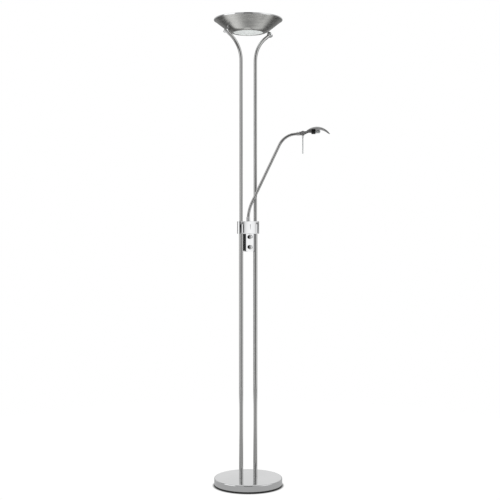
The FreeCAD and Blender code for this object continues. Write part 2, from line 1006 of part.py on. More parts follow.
def lamp_bracket():
    """Strip across the bowl whose turned-up ends lie on the wall under the stud nuts."""
    body = new_body("lamp_bracket")
    gap = "fit * 2"
    sheet_up = f"(bracket_sheet / sin({TURN}))"

    def wall(x, up="0"):
        """Height over the inside of the wall at x, measured at the edge of the strip."""
        reach = f"sqrt({x} ^ 2 + (bracket_width / 2) ^ 2)"
        return f"({WALL_FOOT} + {gap} + ({reach} - shoulder_radius) * {WALL_SLOPE} + {up})"

    knee = KNEE
    end = f"({knee} + bracket_reach)"
    flat = f"({FLAT_TOP} - bracket_sheet)"
    inner = f"({knee} - bracket_sheet * tan((90 deg - bend_turn * 1 deg) / 2))"
    sketch = trace(
        new_sketch(body),
        [
            (f"-{knee}", flat),
            (knee, flat),
            (end, wall(end)),
            (end, wall(end, sheet_up)),
            (inner, f"{flat} + bracket_sheet"),
            (f"-{inner}", f"{flat} + bracket_sheet"),
            (f"-{end}", wall(end, sheet_up)),
            (f"-{end}", wall(end)),
        ],
    )
    extrude(body, "Pad", sketch, "bracket_width", both_ways=True)
    for side in (1, -1):
        axis = new_sketch(body, "XY_Plane")
        circle(axis, "0", "0", "stud_radius + slide")
        turn = f"create(<<rotation>>; 0; {side} * (bend_turn - 90); 0)"
        spot = f"create(<<vector>>; {side} * {CENTRE_X}; 0; {CENTRE_Z})"
        bind(axis, "AttachmentOffset", f"create(<<placement>>; {spot}; {turn})")
        doc.recompute()
        dig(body, axis, f"wall_gap + flange_length", back=True)


def reflector():
    """Pressed trough under the uplighter lamp."""
    body = new_body("uplight_reflector")
    half = "reflector_width / 2"
    low = f"({FLAT_TOP} + fit)"
    rise = "reflector_rise"
    sheet_wall = "reflector_sheet"
    flat = "reflector_flat / 2"
    sketch = trace(
        new_sketch(body, "YZ_Plane"),
        [
            (f"-{flat}", low),
            (flat, low),
            (half, f"{low} + {rise}"),
            (half, f"{low} + {rise} + {sheet_wall}"),
            (flat, f"{low} + {sheet_wall}"),
            (f"-{flat}", f"{low} + {sheet_wall}"),
            (f"-{half}", f"{low} + {rise} + {sheet_wall}"),
            (f"-{half}", f"{low} + {rise}"),
        ],
    )
    extrude(body, "Pad", sketch, "reflector_length", both_ways=True)


def uplight_sockets():
    """Ceramic end holders, each with a contact pocket that faces the lamp."""
    for name, side in SIDES:
        face = "tube_length / 2 - socket_grip"
        middle = f"{side} * ({face} + socket_depth / 2)"
        outer = block(
            "socket_depth",
            "socket_width",
            "socket_height",
            x=middle,
            z=f"{FLAT_TOP} + fit",
        )
        pocket = bar(
            "contact_radius",
            "contact_depth",
            x=f"{side} * ({face} + contact_depth)",
            z=LAMP_Z,
            pitch=f"-90 * {side}",
        )
        slot = block(
            "contact_slot_length",
            "contact_slot_width",
            "socket_height",
            x=f"{side} * ({face} + contact_slot_length / 2 - contact_slot_over)",
            z=LAMP_Z,
        )
        keep(cut(outer, pocket, slot), "uplight_socket_" + name)


def uplight_tube():
    """Linear halogen lamp: a quartz tube with a ceramic cap at each end."""
    body = new_body("uplight_lamp")
    half = "tube_length / 2"
    spin(
        body,
        [
            ("0", f"-{half}"),
            ("tube_end_radius", f"-{half}"),
            ("tube_neck_radius", f"-{half} + tube_end_bevel"),
            ("tube_neck_radius", f"-{half} + tube_neck_length"),
            ("tube_radius", f"-{half} + tube_neck_length + tube_taper"),
            ("tube_radius", f"{half} - tube_neck_length - tube_taper"),
            ("tube_neck_radius", f"{half} - tube_neck_length"),
            ("tube_neck_radius", f"{half} - tube_end_bevel"),
            ("tube_end_radius", half),
            ("0", half),
        ],
    )
    place(body, z=LAMP_Z, pitch="90")


def bracket_screws():
    """Rivets that hold the reflector and both holders to the strip."""
    rivets = []
    for _, side in SIDES:
        x = f"{side} * (tube_length / 2 + socket_depth / 2 - rivet_offset)"
        low = f"{FLAT_TOP} - bracket_sheet"
        rivets.append(bar("rivet_radius", "rivet_height", x=x, z=f"{low} - rivet_height - fit"))
    keep(group(*rivets), "socket_rivets")


# ---- collar

CAP_LOW = "(collar_bottom + collar_height - cap_height)"
BOSS_X = f"({HALF} - sleeve_radius - collar_boss_radius - boss_gap)"
COLLAR_TOP = "(collar_bottom + collar_height)"


def stadium(sketch, radius):
    """A slot outline round both pole axes."""
    return trace(
        sketch,
        [
            (f"-{HALF}", f"-({radius})"),
            (HALF, f"-({radius})", radius),
            (f"{HALF} + {radius}", "0", radius),
            (HALF, radius),
            (f"-{HALF}", radius, radius),
            (f"-{HALF} - ({radius})", "0", radius),
        ],
    )


def at_height(height):
    return lambda edge: all(abs(v.Point.z - value(height)) < 0.01 for v in edge.Vertexes)


def outside(edge):
    """True for an edge that lies on the collar's outer outline."""
    half = value(HALF)
    reach = value("collar_radius")
    spot = edge.valueAt((edge.FirstParameter + edge.LastParameter) / 2)
    off = Vector(max(abs(spot.x) - half, 0), spot.y, 0).Length
    return abs(off - reach) < 0.01


def collar_body():
    """Chromed housing round both poles, open at the top, with a sleeve for each pole."""
    body = new_body("collar_body")
    extrude(
        body,
        "Pad",
        stadium(new_sketch(body, "XY_Plane", "collar_bottom"), "collar_radius"),
        "collar_height - cap_height",
    )
    low = at_height("collar_bottom")
    round_edges(body, "collar_bevel", lambda e: low(e) and outside(e), "Chamfer")
    hollow = stadium(
        new_sketch(body, "XY_Plane", "collar_bottom + collar_floor"),
        "collar_radius - collar_wall",
    )
    for _, side in SIDES:
        circle(hollow, f"{side} * {HALF}", "0", "sleeve_radius")
        circle(hollow, f"{side} * {BOSS_X}", "0", "collar_boss_radius")
    dig(body, hollow, "collar_height", back=True)
    bores = new_sketch(body, "XY_Plane")
    for _, side in SIDES:
        circle(bores, f"{side} * {HALF}", "0", "lower_radius + fit")
        circle(bores, f"{side} * {BOSS_X}", "0", "collar_screw_radius + slide")
    circle(bores, "0", "0", "lead_hole_radius")
    cut_through(body, bores)
    grubs = new_sketch(body, "XZ_Plane")
    for _, side in SIDES:
        circle(grubs, f"{side} * {HALF}", "collar_bottom + grub_height", "grub_radius + fit")
    dig(body, grubs, "collar_radius + cut_over")


def collar_grubs():
    """Set screws at the back of the collar that pinch the poles."""
    screws = []
    length = "collar_radius - lower_radius - grub_gap - grub_recess"
    for _, side in SIDES:
        screws.append(
            bar(
                "grub_radius",
                length,
                x=f"{side} * {HALF}",
                y="lower_radius + grub_gap",
                z="collar_bottom + grub_height",
                yaw="90",
                pitch="90",
            )
        )
    keep(group(*screws), "collar_grub_screws")


def collar_cap():
    """Top of the collar: it closes the body, guides the upper poles and holds the arm's bush."""
    body = new_body("collar_cap")
    extrude(
        body,
        "Pad",
        stadium(new_sketch(body, "XY_Plane", CAP_LOW), "collar_radius"),
        "cap_height",
    )
    top = at_height(COLLAR_TOP)
    round_edges(body, "cap_edge", lambda e: top(e) and outside(e))
    hollow = stadium(
        new_sketch(body, "XY_Plane", CAP_LOW), "collar_radius - collar_wall"
    )
    for _, side in SIDES:
        circle(hollow, f"{side} * {BOSS_X}", "0", "collar_boss_radius")
    dig(body, hollow, "cap_height - collar_floor", back=True)
    bores = new_sketch(body, "XY_Plane")
    for _, side in SIDES:
        circle(bores, f"{side} * {HALF}", "0", f"{UPPER} + fit")
    circle(bores, "0", "0", "arm_radius + arm_bush_wall + fit")
    cut_through(body, bores)
    pilots = new_sketch(body, "XY_Plane", CAP_LOW)
    for _, side in SIDES:
        circle(pilots, f"{side} * {BOSS_X}", "0", "collar_screw_radius + fit")
    dig(body, pilots, "pilot_depth", back=True)


def collar_screws():
    """Screws from under the collar into the posts of its cap."""
    screws = []
    for _, side in SIDES:
        low = "collar_bottom + collar_floor - screw_seat"
        x = f"{side} * {BOSS_X}"
        length = f"{CAP_LOW} + pilot_depth - pilot_gap - ({low})"
        screws.append(bar("collar_screw_radius", length, x=x, z=low))
    keep(group(*screws), "collar_screws")


# ---- dimmer housing

HOUSING_TOP = "collar_bottom"
HOUSING_HALF = f"({HALF} - lower_radius - housing_gap)"
HOUSING_LOW = "(collar_bottom - housing_drop)"


def housing_outline(sketch, side, shrink="0", spill="0"):
    """Plan of a half housing: side -1 is the front and 1 the back. Spill moves its open edge."""
    half = f"({HOUSING_HALF} - {shrink})"
    curve = f"(housing_curve - {shrink})"
    apex = f"(housing_front - {shrink})"
    edge = f"({apex} - {curve} + sqrt({curve} ^ 2 - {half} ^ 2))"
    if side < 0:
        seam = f"housing_seam + {spill}"
        points = [
            (f"-{half}", f"-{edge}", curve),
            ("0", f"-{apex}", curve),
            (half, f"-{edge}"),
            (half, seam),
            (f"-{half}", seam),
        ]
    else:
        seam = f"housing_seam + fit - {spill}"
        points = [
            (f"-{half}", seam),
            (half, seam),
            (half, edge, curve),
            ("0", apex, curve),
            (f"-{half}", edge),
        ]
    return trace(sketch, points)


def housing(label, side):
    """One half of the dimmer housing, with an arched lower edge."""
    body = new_body(label)
    extrude(
        body,
        "Pad",
        housing_outline(new_sketch(body, "XY_Plane", HOUSING_LOW), side),
        f"{HOUSING_TOP} - {HOUSING_LOW}",
    )
    half = f"({HOUSING_HALF} + cut_over)"
    rise = f"(housing_arch - sqrt(housing_arch ^ 2 - {half} ^ 2))"
    arch = trace(
        new_sketch(body),
        [
            (f"-{half}", f"{HOUSING_LOW} + {rise}"),
            (f"-{half}", f"{HOUSING_LOW} - cut_over"),
            (half, f"{HOUSING_LOW} - cut_over"),
            (half, f"{HOUSING_LOW} + {rise}", "-housing_arch"),
            ("0", HOUSING_LOW, "-housing_arch"),
        ],
    )
    cut_through(body, arch)
    low = f"{HOUSING_LOW} + {rise} + housing_wall"
    dig(
        body,
        housing_outline(
            new_sketch(body, "XY_Plane", low), side, "housing_wall", "cut_over"
        ),
        f"{HOUSING_TOP} - housing_wall - ({low})",
        back=True,
    )
    return body


def dimmer_housing():
    front = housing("dimmer_housing_front", -1)
    posts = new_sketch(front, "XZ_Plane", "-post_reach")
    middle = f"{HOUSING_TOP} - housing_drop / 2"
    for _, side in SIDES:
        circle(posts, f"{side} * post_spread", middle, "post_radius")
        circle(posts, f"{side} * post_spread", middle, "screw_radius + fit")
    extrude(front, "Pad", posts, "post_reach + housing_front - post_foot")
    holes = new_sketch(front, "XZ_Plane")
    for drop in ("knob_high", "knob_low"):
        circle(holes, "0", f"{HOUSING_TOP} - {drop}", "bush_radius + fit")
    dig(front, holes, "housing_front + cut_over", back=True)
    top = new_sketch(front, "XY_Plane", HOUSING_TOP)
    circle(top, "0", "-housing_lead_offset", "housing_lead_radius")
    dig(front, top, "housing_wall + cut_over")
    back = housing("dimmer_housing_back", 1)
    screws = new_sketch(back, "XZ_Plane")
    for _, side in SIDES:
        circle(screws, f"{side} * post_spread", middle, "screw_radius + fit")
    dig(back, screws, "housing_front + cut_over")


def housing_screws():
    """Screws through the back of the housing into the posts of its front."""
    screws = []
    z = f"{HOUSING_TOP} - housing_drop / 2"
    inner = "(post_spread - screw_head_radius)"
    seat = f"(housing_front - housing_curve + sqrt(housing_curve ^ 2 - {inner} ^ 2) + fit)"
    for _, side in SIDES:
        spot = dict(x=f"{side} * post_spread", z=z, yaw="90", pitch="90")
        screws.append(
            fuse(
                bar("screw_radius", f"{seat} + screw_head_height / 2", y="0", **spot),
                bar("screw_head_radius", "screw_head_height", y=seat, **spot),
            )
        )
    keep(group(*screws), "housing_screws")


def dimmer_board():
    """Circuit board with its capacitor, choke and heat sink as one loaded board."""
    middle = f"({HOUSING_TOP} - (knob_high + knob_low) / 2)"
    low = f"({middle} - board_height / 2)"
    y = "housing_seam + board_offset"
    board = block(
        "board_width", "board_thickness", "board_height", y=y, z=low
    )
    back = f"{y} + board_thickness / 2"
    choke = bar(
        "choke_radius",
        "choke_length",
        x="-choke_offset",
        y=f"{back} + choke_radius - part_offset",
        z=f"{middle} - choke_drop",
    )
    capacitor = block(
        "capacitor_width",
        "capacitor_depth",
        "capacitor_height",
        x="block_offset",
        y=f"{back} + capacitor_depth / 2 - part_offset",
        z=f"{middle} + capacitor_rise",
    )
    sink = block(
        "sink_width",
        "sink_depth",
        "sink_height",
        x="block_offset",
        y=f"{back} + sink_depth / 2 - part_offset",
        z=f"{middle} - sink_drop",
    )
    keep(fuse(board, choke, capacitor, sink), "dimmer_board")


KNOBS = (("uplight", "knob_high"), ("reader", "knob_low"))
INNER_Y = "(housing_front - housing_wall)"


def controls():
    """For each circuit: a potentiometer, its nut, its shaft and the knob on the shaft."""
    back = "housing_seam + board_offset - board_thickness / 2 - board_gap"
    nuts = []
    for name, drop in KNOBS:
        z = f"{HOUSING_TOP} - {drop}"
        toward = dict(z=z, yaw="-90", pitch="90")
        can_front = f"-({INNER_Y} - can_gap)"
        can = bar("pot_radius", f"{back} - ({can_front})", y=back, **toward)
        bush = bar("bush_radius", f"{INNER_Y} + bush_past", y="0", **toward)
        bore = "2 * housing_front"
        shaft_hole = bar("shaft_radius + fit", bore, y=f"{back} - shaft_set", **toward)
        keep(cut(fuse(can, bush), shaft_hole), name + "_potentiometer")
        nuts.append(
            cut(
                prism(
                    "control_nut_flats",
                    "control_nut_height",
                    y="-(housing_front + fit)",
                    **toward,
                ),
                bar("bush_radius + fit", "2 * control_nut_height", y="-housing_front", **toward),
            )
        )
        keep(
            bar(
                "shaft_radius",
                "housing_front + knob_gap + knob_bore - 2 * fit - shaft_set",
                y="-shaft_set",
                **toward,
            ),
            name + "_shaft",
        )
        knob = new_body(name + "_knob")
        front = "knob_length"
        edge = "knob_edge"
        spin(
            knob,
            [
                ("shaft_radius + fit", "knob_recess"),
                ("knob_radius - knob_wall", "knob_recess"),
                ("knob_radius - knob_wall", "0"),
                ("knob_radius - knob_bevel", "0"),
                ("knob_radius", "knob_bevel"),
                ("knob_radius", f"{front} - {edge}", edge),
                (f"knob_radius - {edge}", front),
                ("0", front),
                ("0", "knob_bore"),
                ("shaft_radius + fit", "knob_bore"),
            ],
        )
        mark = new_sketch(knob, "XY_Plane", front)
        trace(
            mark,
            [
                ("-mark_width / 2", "mark_start"),
                ("mark_width / 2", "mark_start"),
                ("mark_width / 2", "knob_radius + cut_over"),
                ("-mark_width / 2", "knob_radius + cut_over"),
            ],
        )
        dig(knob, mark, "mark_depth")
        spot = f"create(<<vector>>; 0; -(housing_front + knob_gap); {z})"
        turn = "create(<<rotation>>; 0; 0; 90)"
        bind(knob, "Placement", f"create(<<placement>>; {spot}; {turn})")
    keep(group(*nuts), "control_nuts")


# ---- reading arm

ROOT = "root_bend_turn * 1 deg"
TOP = "(root_bend_turn + top_bend_turn) * 1 deg"
A1 = (
    f"root_bend_radius * (1 - cos({ROOT}))",
    f"root_bend_height + root_bend_radius * sin({ROOT})",
)
A2 = (
    f"({A1[0]} + arm_straight * sin({ROOT}))",
    f"({A1[1]} + arm_straight * cos({ROOT}))",
)
A3 = (
    f"({A2[0]} + top_bend_radius * (cos({ROOT}) - cos({TOP})))",
    f"({A2[1]} + top_bend_radius * (sin({TOP}) - sin({ROOT})))",
)


def along_end(distance):
    """A point past the last bend of the arm, as reach and height."""
    return (
        f"({A3[0]} + ({distance}) * sin({TOP}))",
        f"({A3[1]} + ({distance}) * cos({TOP}))",
    )


def arm_path(low, end):
    return [
        ("0", low),
        ("0", "root_bend_height", "-root_bend_radius"),
        A1,
        A2 + ("-top_bend_radius",),
        A3,
        along_end(end),
    ]


def arm():
    """Bent tube that swings in the collar, with its lead inside."""
    low = f"({COLLAR_TOP} - arm_tail)"
    tube = sweep(
        "arm_tube",
        ("0", low),
        arm_path(low, "arm_end"),
        "arm_radius",
        "arm_radius - arm_wall",
    )
    place(tube, yaw="arm_azimuth")
    lead_low = f"{low} + lead_setback"
    lead = sweep(
        "arm_lead",
        ("0", lead_low),
        arm_path(lead_low, "arm_end - lead_setback"),
        "arm_lead_radius",
    )
    place(lead, yaw="arm_azimuth")
    ferrule = new_body("arm_root_ferrule")
    bend = f"(root_bend_height - {COLLAR_TOP})"
    spin(
        ferrule,
        [
            ("arm_radius + fit", "slide"),
            ("ferrule_radius + ferrule_foot", "slide"),
            ("ferrule_radius + ferrule_foot", "ferrule_foot_height"),
            ("ferrule_radius", "ferrule_foot_height + ferrule_step"),
            ("ferrule_radius", "ferrule_height - ferrule_slope"),
            ("arm_radius + ferrule_neck", "ferrule_height"),
            ("arm_radius + ferrule_sleeve", "ferrule_height"),
            ("arm_radius + ferrule_sleeve", bend),
            ("arm_radius + fit", bend),
        ],
    )
    place(ferrule, z=COLLAR_TOP)


def arm_swivel():
    """Bush, spring washer and nut that let the arm turn in the collar."""
    wall = "arm_radius + arm_bush_wall"
    under = f"({COLLAR_TOP} - collar_floor)"
    bush = new_body("arm_bush")
    spin(
        bush,
        [
            ("arm_radius + fit", f"{under} - bush_lip"),
            (f"{wall} + bush_lip", f"{under} - bush_lip"),
            (f"{wall} + bush_lip", f"{under} - fit"),
            (wall, f"{under} - fit"),
            (wall, COLLAR_TOP),
            ("arm_radius + fit", COLLAR_TOP),
        ],
    )
    spring = f"{under} - bush_lip - fit - spring_height"
    keep(
        ring("arm_radius + spring_width", "arm_radius + slide", "spring_height", z=spring),
        "arm_spring_washer",
    )
    nut = f"{spring} - slide - arm_nut_height"
    keep(
        cut(
            prism("arm_nut_flats", "arm_nut_height", z=nut),
            bar("arm_radius + fit", "arm_nut_height", z=nut),
        ),
        "arm_lock_nut",
    )


PIVOT = along_end("arm_end + pivot_reach")
PIVOT_X = f"({PIVOT[0]} * cos(arm_azimuth * 1 deg))"
PIVOT_Y = f"({PIVOT[0]} * sin(arm_azimuth * 1 deg))"
END_RISE = "(90 - root_bend_turn - top_bend_turn)"


def at_pivot(thing, pitch="0"):
    return place(thing, PIVOT_X, PIVOT_Y, PIVOT[1], "arm_azimuth", pitch)


FORK_HALF = "(tongue_width / 2 + washer_sheet + fit * 2 + cheek_width)"
SLOT = "(tongue_width + 2 * washer_sheet + fit * 4)"


def arm_fork():
    """End fitting of the arm: a socket on the tube and two cheeks round the tilt pin."""
    body = new_body("arm_fork")
    eye = "eye_radius"
    back = f"-({eye} + fork_back)"
    bridge = "(eye_radius * fork_waist)"
    sketch = new_sketch(body)
    reach = f"sqrt({eye} ^ 2 - {bridge} ^ 2)"
    trace(
        sketch,
        [
            (back, f"-{bridge}"),
            (f"-{reach}", f"-{bridge}", eye),
            (eye, "0", eye),
            (f"-{reach}", bridge),
            (back, bridge),
        ],
    )
    extrude(body, "Pad", sketch, f"2 * {FORK_HALF}", both_ways=True)
    slot = trace(
        new_sketch(body, "XY_Plane"),
        [
            (f"-({eye} + fork_gap)", f"-{SLOT} / 2"),
            (f"{eye} + cut_over", f"-{SLOT} / 2"),
            (f"{eye} + cut_over", f"{SLOT} / 2"),
            (f"-({eye} + fork_gap)", f"{SLOT} / 2"),
        ],
    )
    cut_through(body, slot)
    hole = circle(new_sketch(body), "0", "0", "pin_radius + fit")
    cut_through(body, hole)
    spin(
        body,
        [
            (f"{back} + cut_over", "0"),
            (f"{back} + cut_over", "ferrule_radius"),
            (f"{back} - socket_length", "ferrule_radius"),
            (f"{back} - socket_length", "arm_radius + fit"),
            (back, "arm_radius + fit"),
            (back, "0"),
        ],
        axis="H_Axis",
    )
    at_pivot(body, f"-{END_RISE}")


def knuckle():
    """Pin, nut and washers of the tilt hinge."""
    half = FORK_HALF
    head = dict(yaw="arm_azimuth - 90", pitch="90")

    def spot(distance):
        """A place on the hinge axis at a distance towards the pin's head."""
        return dict(
            x=f"{PIVOT_X} + ({distance}) * sin(arm_azimuth * 1 deg)",
            y=f"{PIVOT_Y} - ({distance}) * cos(arm_azimuth * 1 deg)",
            z=PIVOT[1],
            **head,
        )

    pin = fuse(
        bar("pin_radius", f"2 * {half} + pin_past + cut_over", **spot(f"-{half} - pin_past")),
        bar("pin_head_radius", "pin_head_height", **spot(f"{half} + fit")),
    )
    keep(pin, "tilt_pin")
    nut = f"-{half} - tilt_nut_height - fit"
    keep(
        cut(
            bar("tilt_nut_radius", "tilt_nut_height", **spot(nut)),
            bar("pin_radius + fit", "tilt_nut_height", **spot(nut)),
        ),
        "tilt_nut",
    )
    washers = [
        ring("tilt_washer_radius", "pin_radius + slide", "washer_sheet", **spot(face))
        for face in (
            "tongue_width / 2 + fit",
            "-tongue_width / 2 - fit - washer_sheet",
        )
    ]
    keep(group(*washers), "tilt_washers")


# ---- reader head, drawn about its tilt pin with X towards the tip

HEAD_CZ = "(head_rise - head_curve)"


def head_top(x, depth="0"):
    """Height of the shell's top line at x, at a depth under its outside."""
    return f"({HEAD_CZ} + sqrt((head_curve - ({depth})) ^ 2 - ({x} - head_centre) ^ 2))"


def head_neck():
    """Tongue of the hinge, with the neck that carries the shell and the lamp holder."""
    body = new_body("head_neck")
    eye = "eye_radius"
    sketch = circle(new_sketch(body), "0", "0", eye)
    extrude(body, "Pad", sketch, "tongue_width", both_ways=True)
    lap = "(head_back + neck_lap)"
    stem = trace(
        new_sketch(body),
        [
            ("0", "-neck_drop"),
            ("neck_bend", "-neck_drop"),
            ("neck_run", "neck_low"),
            ("neck_end", "neck_low"),
            ("neck_end", "neck_high"),
            ("neck_meet", head_top("neck_meet", "head_wall + slide")),
            (lap, head_top(lap, "head_wall + slide")),
            ("neck_start", "neck_bend"),
            ("0", "neck_bend"),
        ],
    )
    extrude(body, "Pad", stem, "tongue_width", both_ways=True)
    hole = circle(new_sketch(body), "0", "0", "pin_radius + fit")
    cut_through(body, hole)
    below = new_sketch(body, "XY_Plane", "-eye_radius - cut_over")
    circle(below, "0", "0", "rod_stud_radius + fit * 2")
    dig(body, below, "rod_hole_depth", back=True)
    at_pivot(body)


def head_shell():
    """Leaf-shaped hood: arched along its length, curved across, with arched side edges."""
    body = new_body("head_shell")
    inner = "(head_curve - head_wall)"
    back = "head_back"
    tip = "head_tip"
    axis = "head_axis"
    sketch = trace(
        new_sketch(body),
        [
            (back, f"{head_top(back, 'head_wall')} + {axis}", f"-{inner}"),
            (tip, f"{head_top(tip, 'head_wall')} + {axis}"),
            (tip, f"{head_top(tip)} + {axis}", "head_curve"),
            (back, f"{head_top(back)} + {axis}"),
        ],
    )
    feature(
        body, "Revolution", sketch, ReferenceAxis=(sketch, ["H_Axis"]), Angle=180.0
    ).Midplane = True
    doc.recompute()
    leaf = new_sketch(body, "XY_Plane")
    trace(
        leaf,
        [
            ("-head_tip", "-head_tip"),
            ("2 * head_tip", "-head_tip"),
            ("2 * head_tip", "head_tip"),
            ("-head_tip", "head_tip"),
        ],
    )
    side = "leaf_curve"
    nose = "leaf_nose"
    wide = "head_centre + leaf_wide_past"
    start = f"{tip} - leaf_nose_length"
    trace(
        leaf,
        [
            (f"{back} + neck_lap", "-leaf_root", side),
            (wide, "-head_half", side),
            (start, "-leaf_nose_half", nose),
            (tip, "0", nose),
            (start, "leaf_nose_half", side),
            (wide, "head_half", side),
            (f"{back} + neck_lap", "leaf_root"),
        ],
    )
    cut_through(body, leaf)
    arch = new_sketch(body)
    centre = f"(rim_rise - rim_curve + {axis})"
    foot = f"({centre} + arch_foot)"
    span = "sqrt(rim_curve ^ 2 - arch_foot ^ 2)"
    trace(
        arch,
        [
            (f"rim_centre - {span}", foot),
            (f"rim_centre - {span}", "-head_tip"),
            (f"rim_centre + {span}", "-head_tip"),
            (f"rim_centre + {span}", foot, "rim_curve"),
        ],
    )
    cut_through(body, arch)
    place(body, PIVOT_X, PIVOT_Y, f"{PIVOT[1]} - head_axis", "arm_azimuth")


def reader_lamp():
    """Capsule lamp, its holder and the screw that fixes the holder."""
    holder = new_body("reader_socket")
    start = "(neck_end + reader_socket_gap)"
    spin(
        holder,
        [
            (start, "0"),
            (start, "reader_socket_radius - reader_socket_bevel"),
            (f"{start} + reader_socket_bevel", "reader_socket_radius"),
            (f"{start} + reader_socket_length", "reader_socket_radius"),
            (f"{start} + reader_socket_length", "reader_lamp_radius + slide"),
            (f"{start} + reader_socket_length - reader_lamp_seat", "reader_lamp_radius + slide"),
            (f"{start} + reader_socket_length - reader_lamp_seat", "0"),
        ],
        axis="H_Axis",
    )
    level = f"{PIVOT[1]} + reader_axis"
    place(holder, PIVOT_X, PIVOT_Y, level, "arm_azimuth")
    base = f"({start} + reader_socket_length - reader_lamp_seat + reader_lamp_gap)"
    radius = "reader_lamp_radius"
    lamp = new_body("reader_lamp")
    spin(
        lamp,
        [
            (base, "0"),
            (base, radius),
            (f"{base} + reader_lamp_length - reader_lamp_dome", radius, "-reader_dome_curve"),
            (f"{base} + reader_lamp_length", "flat_spot"),
            (f"{base} + reader_lamp_length", "0"),
        ],
        axis="H_Axis",
    )
    place(lamp, PIVOT_X, PIVOT_Y, level, "arm_azimuth")


def grab_rod():
    """Clear rod, with its ferrule, that the head is turned by."""
    top = f"{PIVOT[1]} - eye_radius - fit"
    low = f"{top} - rod_ferrule_length"
    ferrule = bar("rod_ferrule_radius", "rod_ferrule_length", PIVOT_X, PIVOT_Y, low)
    stud = bar(
        "rod_stud_radius", "rod_stud_length", PIVOT_X, PIVOT_Y, f"{top} - rod_stud_root"
    )
    keep(
        cut(
            fuse(ferrule, stud),
            bar("rod_radius + fit", "rod_bore", PIVOT_X, PIVOT_Y, low),
        ),
        "rod_ferrule",
    )
    rod = new_body("grab_rod")
    up = "rod_bore - 2 * fit"
    spin(
        rod,
        [
            ("0", "-rod_length"),
            ("rod_radius - rod_bevel", "-rod_length"),
            ("rod_radius", "-rod_length + rod_bevel"),
            ("rod_radius", up),
            ("0", up),
        ],
    )
    place(rod, PIVOT_X, PIVOT_Y, low, "arm_azimuth")


def build():
    base_cover()
    base_weight()
    foot_ring()
    base_pad()
    cord_gland()
    pole_feet()
    lower_poles()
    upper_poles()
    pole_lead()
    mains_lead()
    tip_ferrules()
    bowl_shell()
    bowl_band()
    bowl_glass()
    bowl_fixings()
    lamp_bracket()
    reflector()
    uplight_sockets()
    uplight_tube()
    bracket_screws()
    collar_body()
    collar_grubs()
    collar_cap()
    collar_screws()
    dimmer_housing()
    housing_screws()
    dimmer_board()
    controls()
    arm()
    arm_swivel()
    arm_fork()
    knuckle()
    head_neck()
    head_shell()
    reader_lamp()
    grab_rod()


def export():
    """Checks every object of the document, then writes each sub-part."""
    doc.recompute()
    faults = [
        f"{o.Label}: {o.State}"
        for o in doc.Objects
        if "Invalid" in o.State or "Error" in o.State
    ]
    for thing in PARTS:
        shape = thing.Shape
        if shape.isNull() or not shape.isValid() or not shape.Solids:
            faults.append(thing.Label + ": no valid solid")
    if faults:
        raise SystemExit("\n".join(faults))
    os.makedirs("parts", exist_ok=True)
    for thing in PARTS:
        thing.Shape.exportStep(f"parts/{thing.Label}.step")
        count = len(thing.Shape.Solids)
        print(f"{thing.Label:24s} {count} solid(s) {thing.Shape.Volume / 1000:9.2f} cm3")


build()
export()
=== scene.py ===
"""Looks of a two-pole floor lamp with an uplighter bowl and a reading arm.

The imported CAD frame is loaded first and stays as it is. Each sub-assembly is a class that builds
its own smooth pieces round the frame, and each finish is a small frozen class. Lengths are in
metres. The origin is the centre of the underside of the base, +Z up; the poles stand at -X and
+X, and the dimmer knobs face -Y.
"""

import sys
import json
import logging
import math
from dataclasses import dataclass, field
from enum import Enum
from typing import Iterable, Sequence

import bmesh
import bpy
from bmesh.types import BMVert, BMesh
from bpy.types import Material, Mesh, Modifier, Node, NodeSocket, NodeTree, Object, World
from mathutils import Matrix, Vector


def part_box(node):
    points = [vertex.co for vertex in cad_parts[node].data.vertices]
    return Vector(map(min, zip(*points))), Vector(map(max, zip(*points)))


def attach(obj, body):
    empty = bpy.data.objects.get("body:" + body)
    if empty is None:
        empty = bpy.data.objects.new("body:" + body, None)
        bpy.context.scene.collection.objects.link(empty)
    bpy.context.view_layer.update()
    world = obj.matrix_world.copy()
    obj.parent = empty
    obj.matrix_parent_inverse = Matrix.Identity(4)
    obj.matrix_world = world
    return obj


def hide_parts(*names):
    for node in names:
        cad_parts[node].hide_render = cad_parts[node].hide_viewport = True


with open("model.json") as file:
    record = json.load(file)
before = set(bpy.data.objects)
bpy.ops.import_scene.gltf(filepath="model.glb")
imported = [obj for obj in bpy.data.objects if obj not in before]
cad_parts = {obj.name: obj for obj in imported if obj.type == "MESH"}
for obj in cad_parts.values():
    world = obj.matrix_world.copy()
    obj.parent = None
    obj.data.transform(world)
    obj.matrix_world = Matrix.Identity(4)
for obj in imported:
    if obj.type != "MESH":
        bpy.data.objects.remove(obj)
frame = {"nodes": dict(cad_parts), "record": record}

LOG = logging.getLogger("floor_lamp")
MM = 0.001
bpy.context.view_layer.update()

Corner = tuple[float, ...]
Point = tuple[float, float]


# ---- outlines


def around(centre: Vector, radius: float, angle: float) -> Point:
    """The point of a circle at an angle in radians."""
    return centre.x + radius * math.cos(angle), centre.y + radius * math.sin(angle)


def bar(radius: float, low: float, high: float) -> list[Corner]:
    """The outline of a plain round bar between two heights."""
    return [(0.0, low), (radius, low), (radius, high), (0.0, high)]


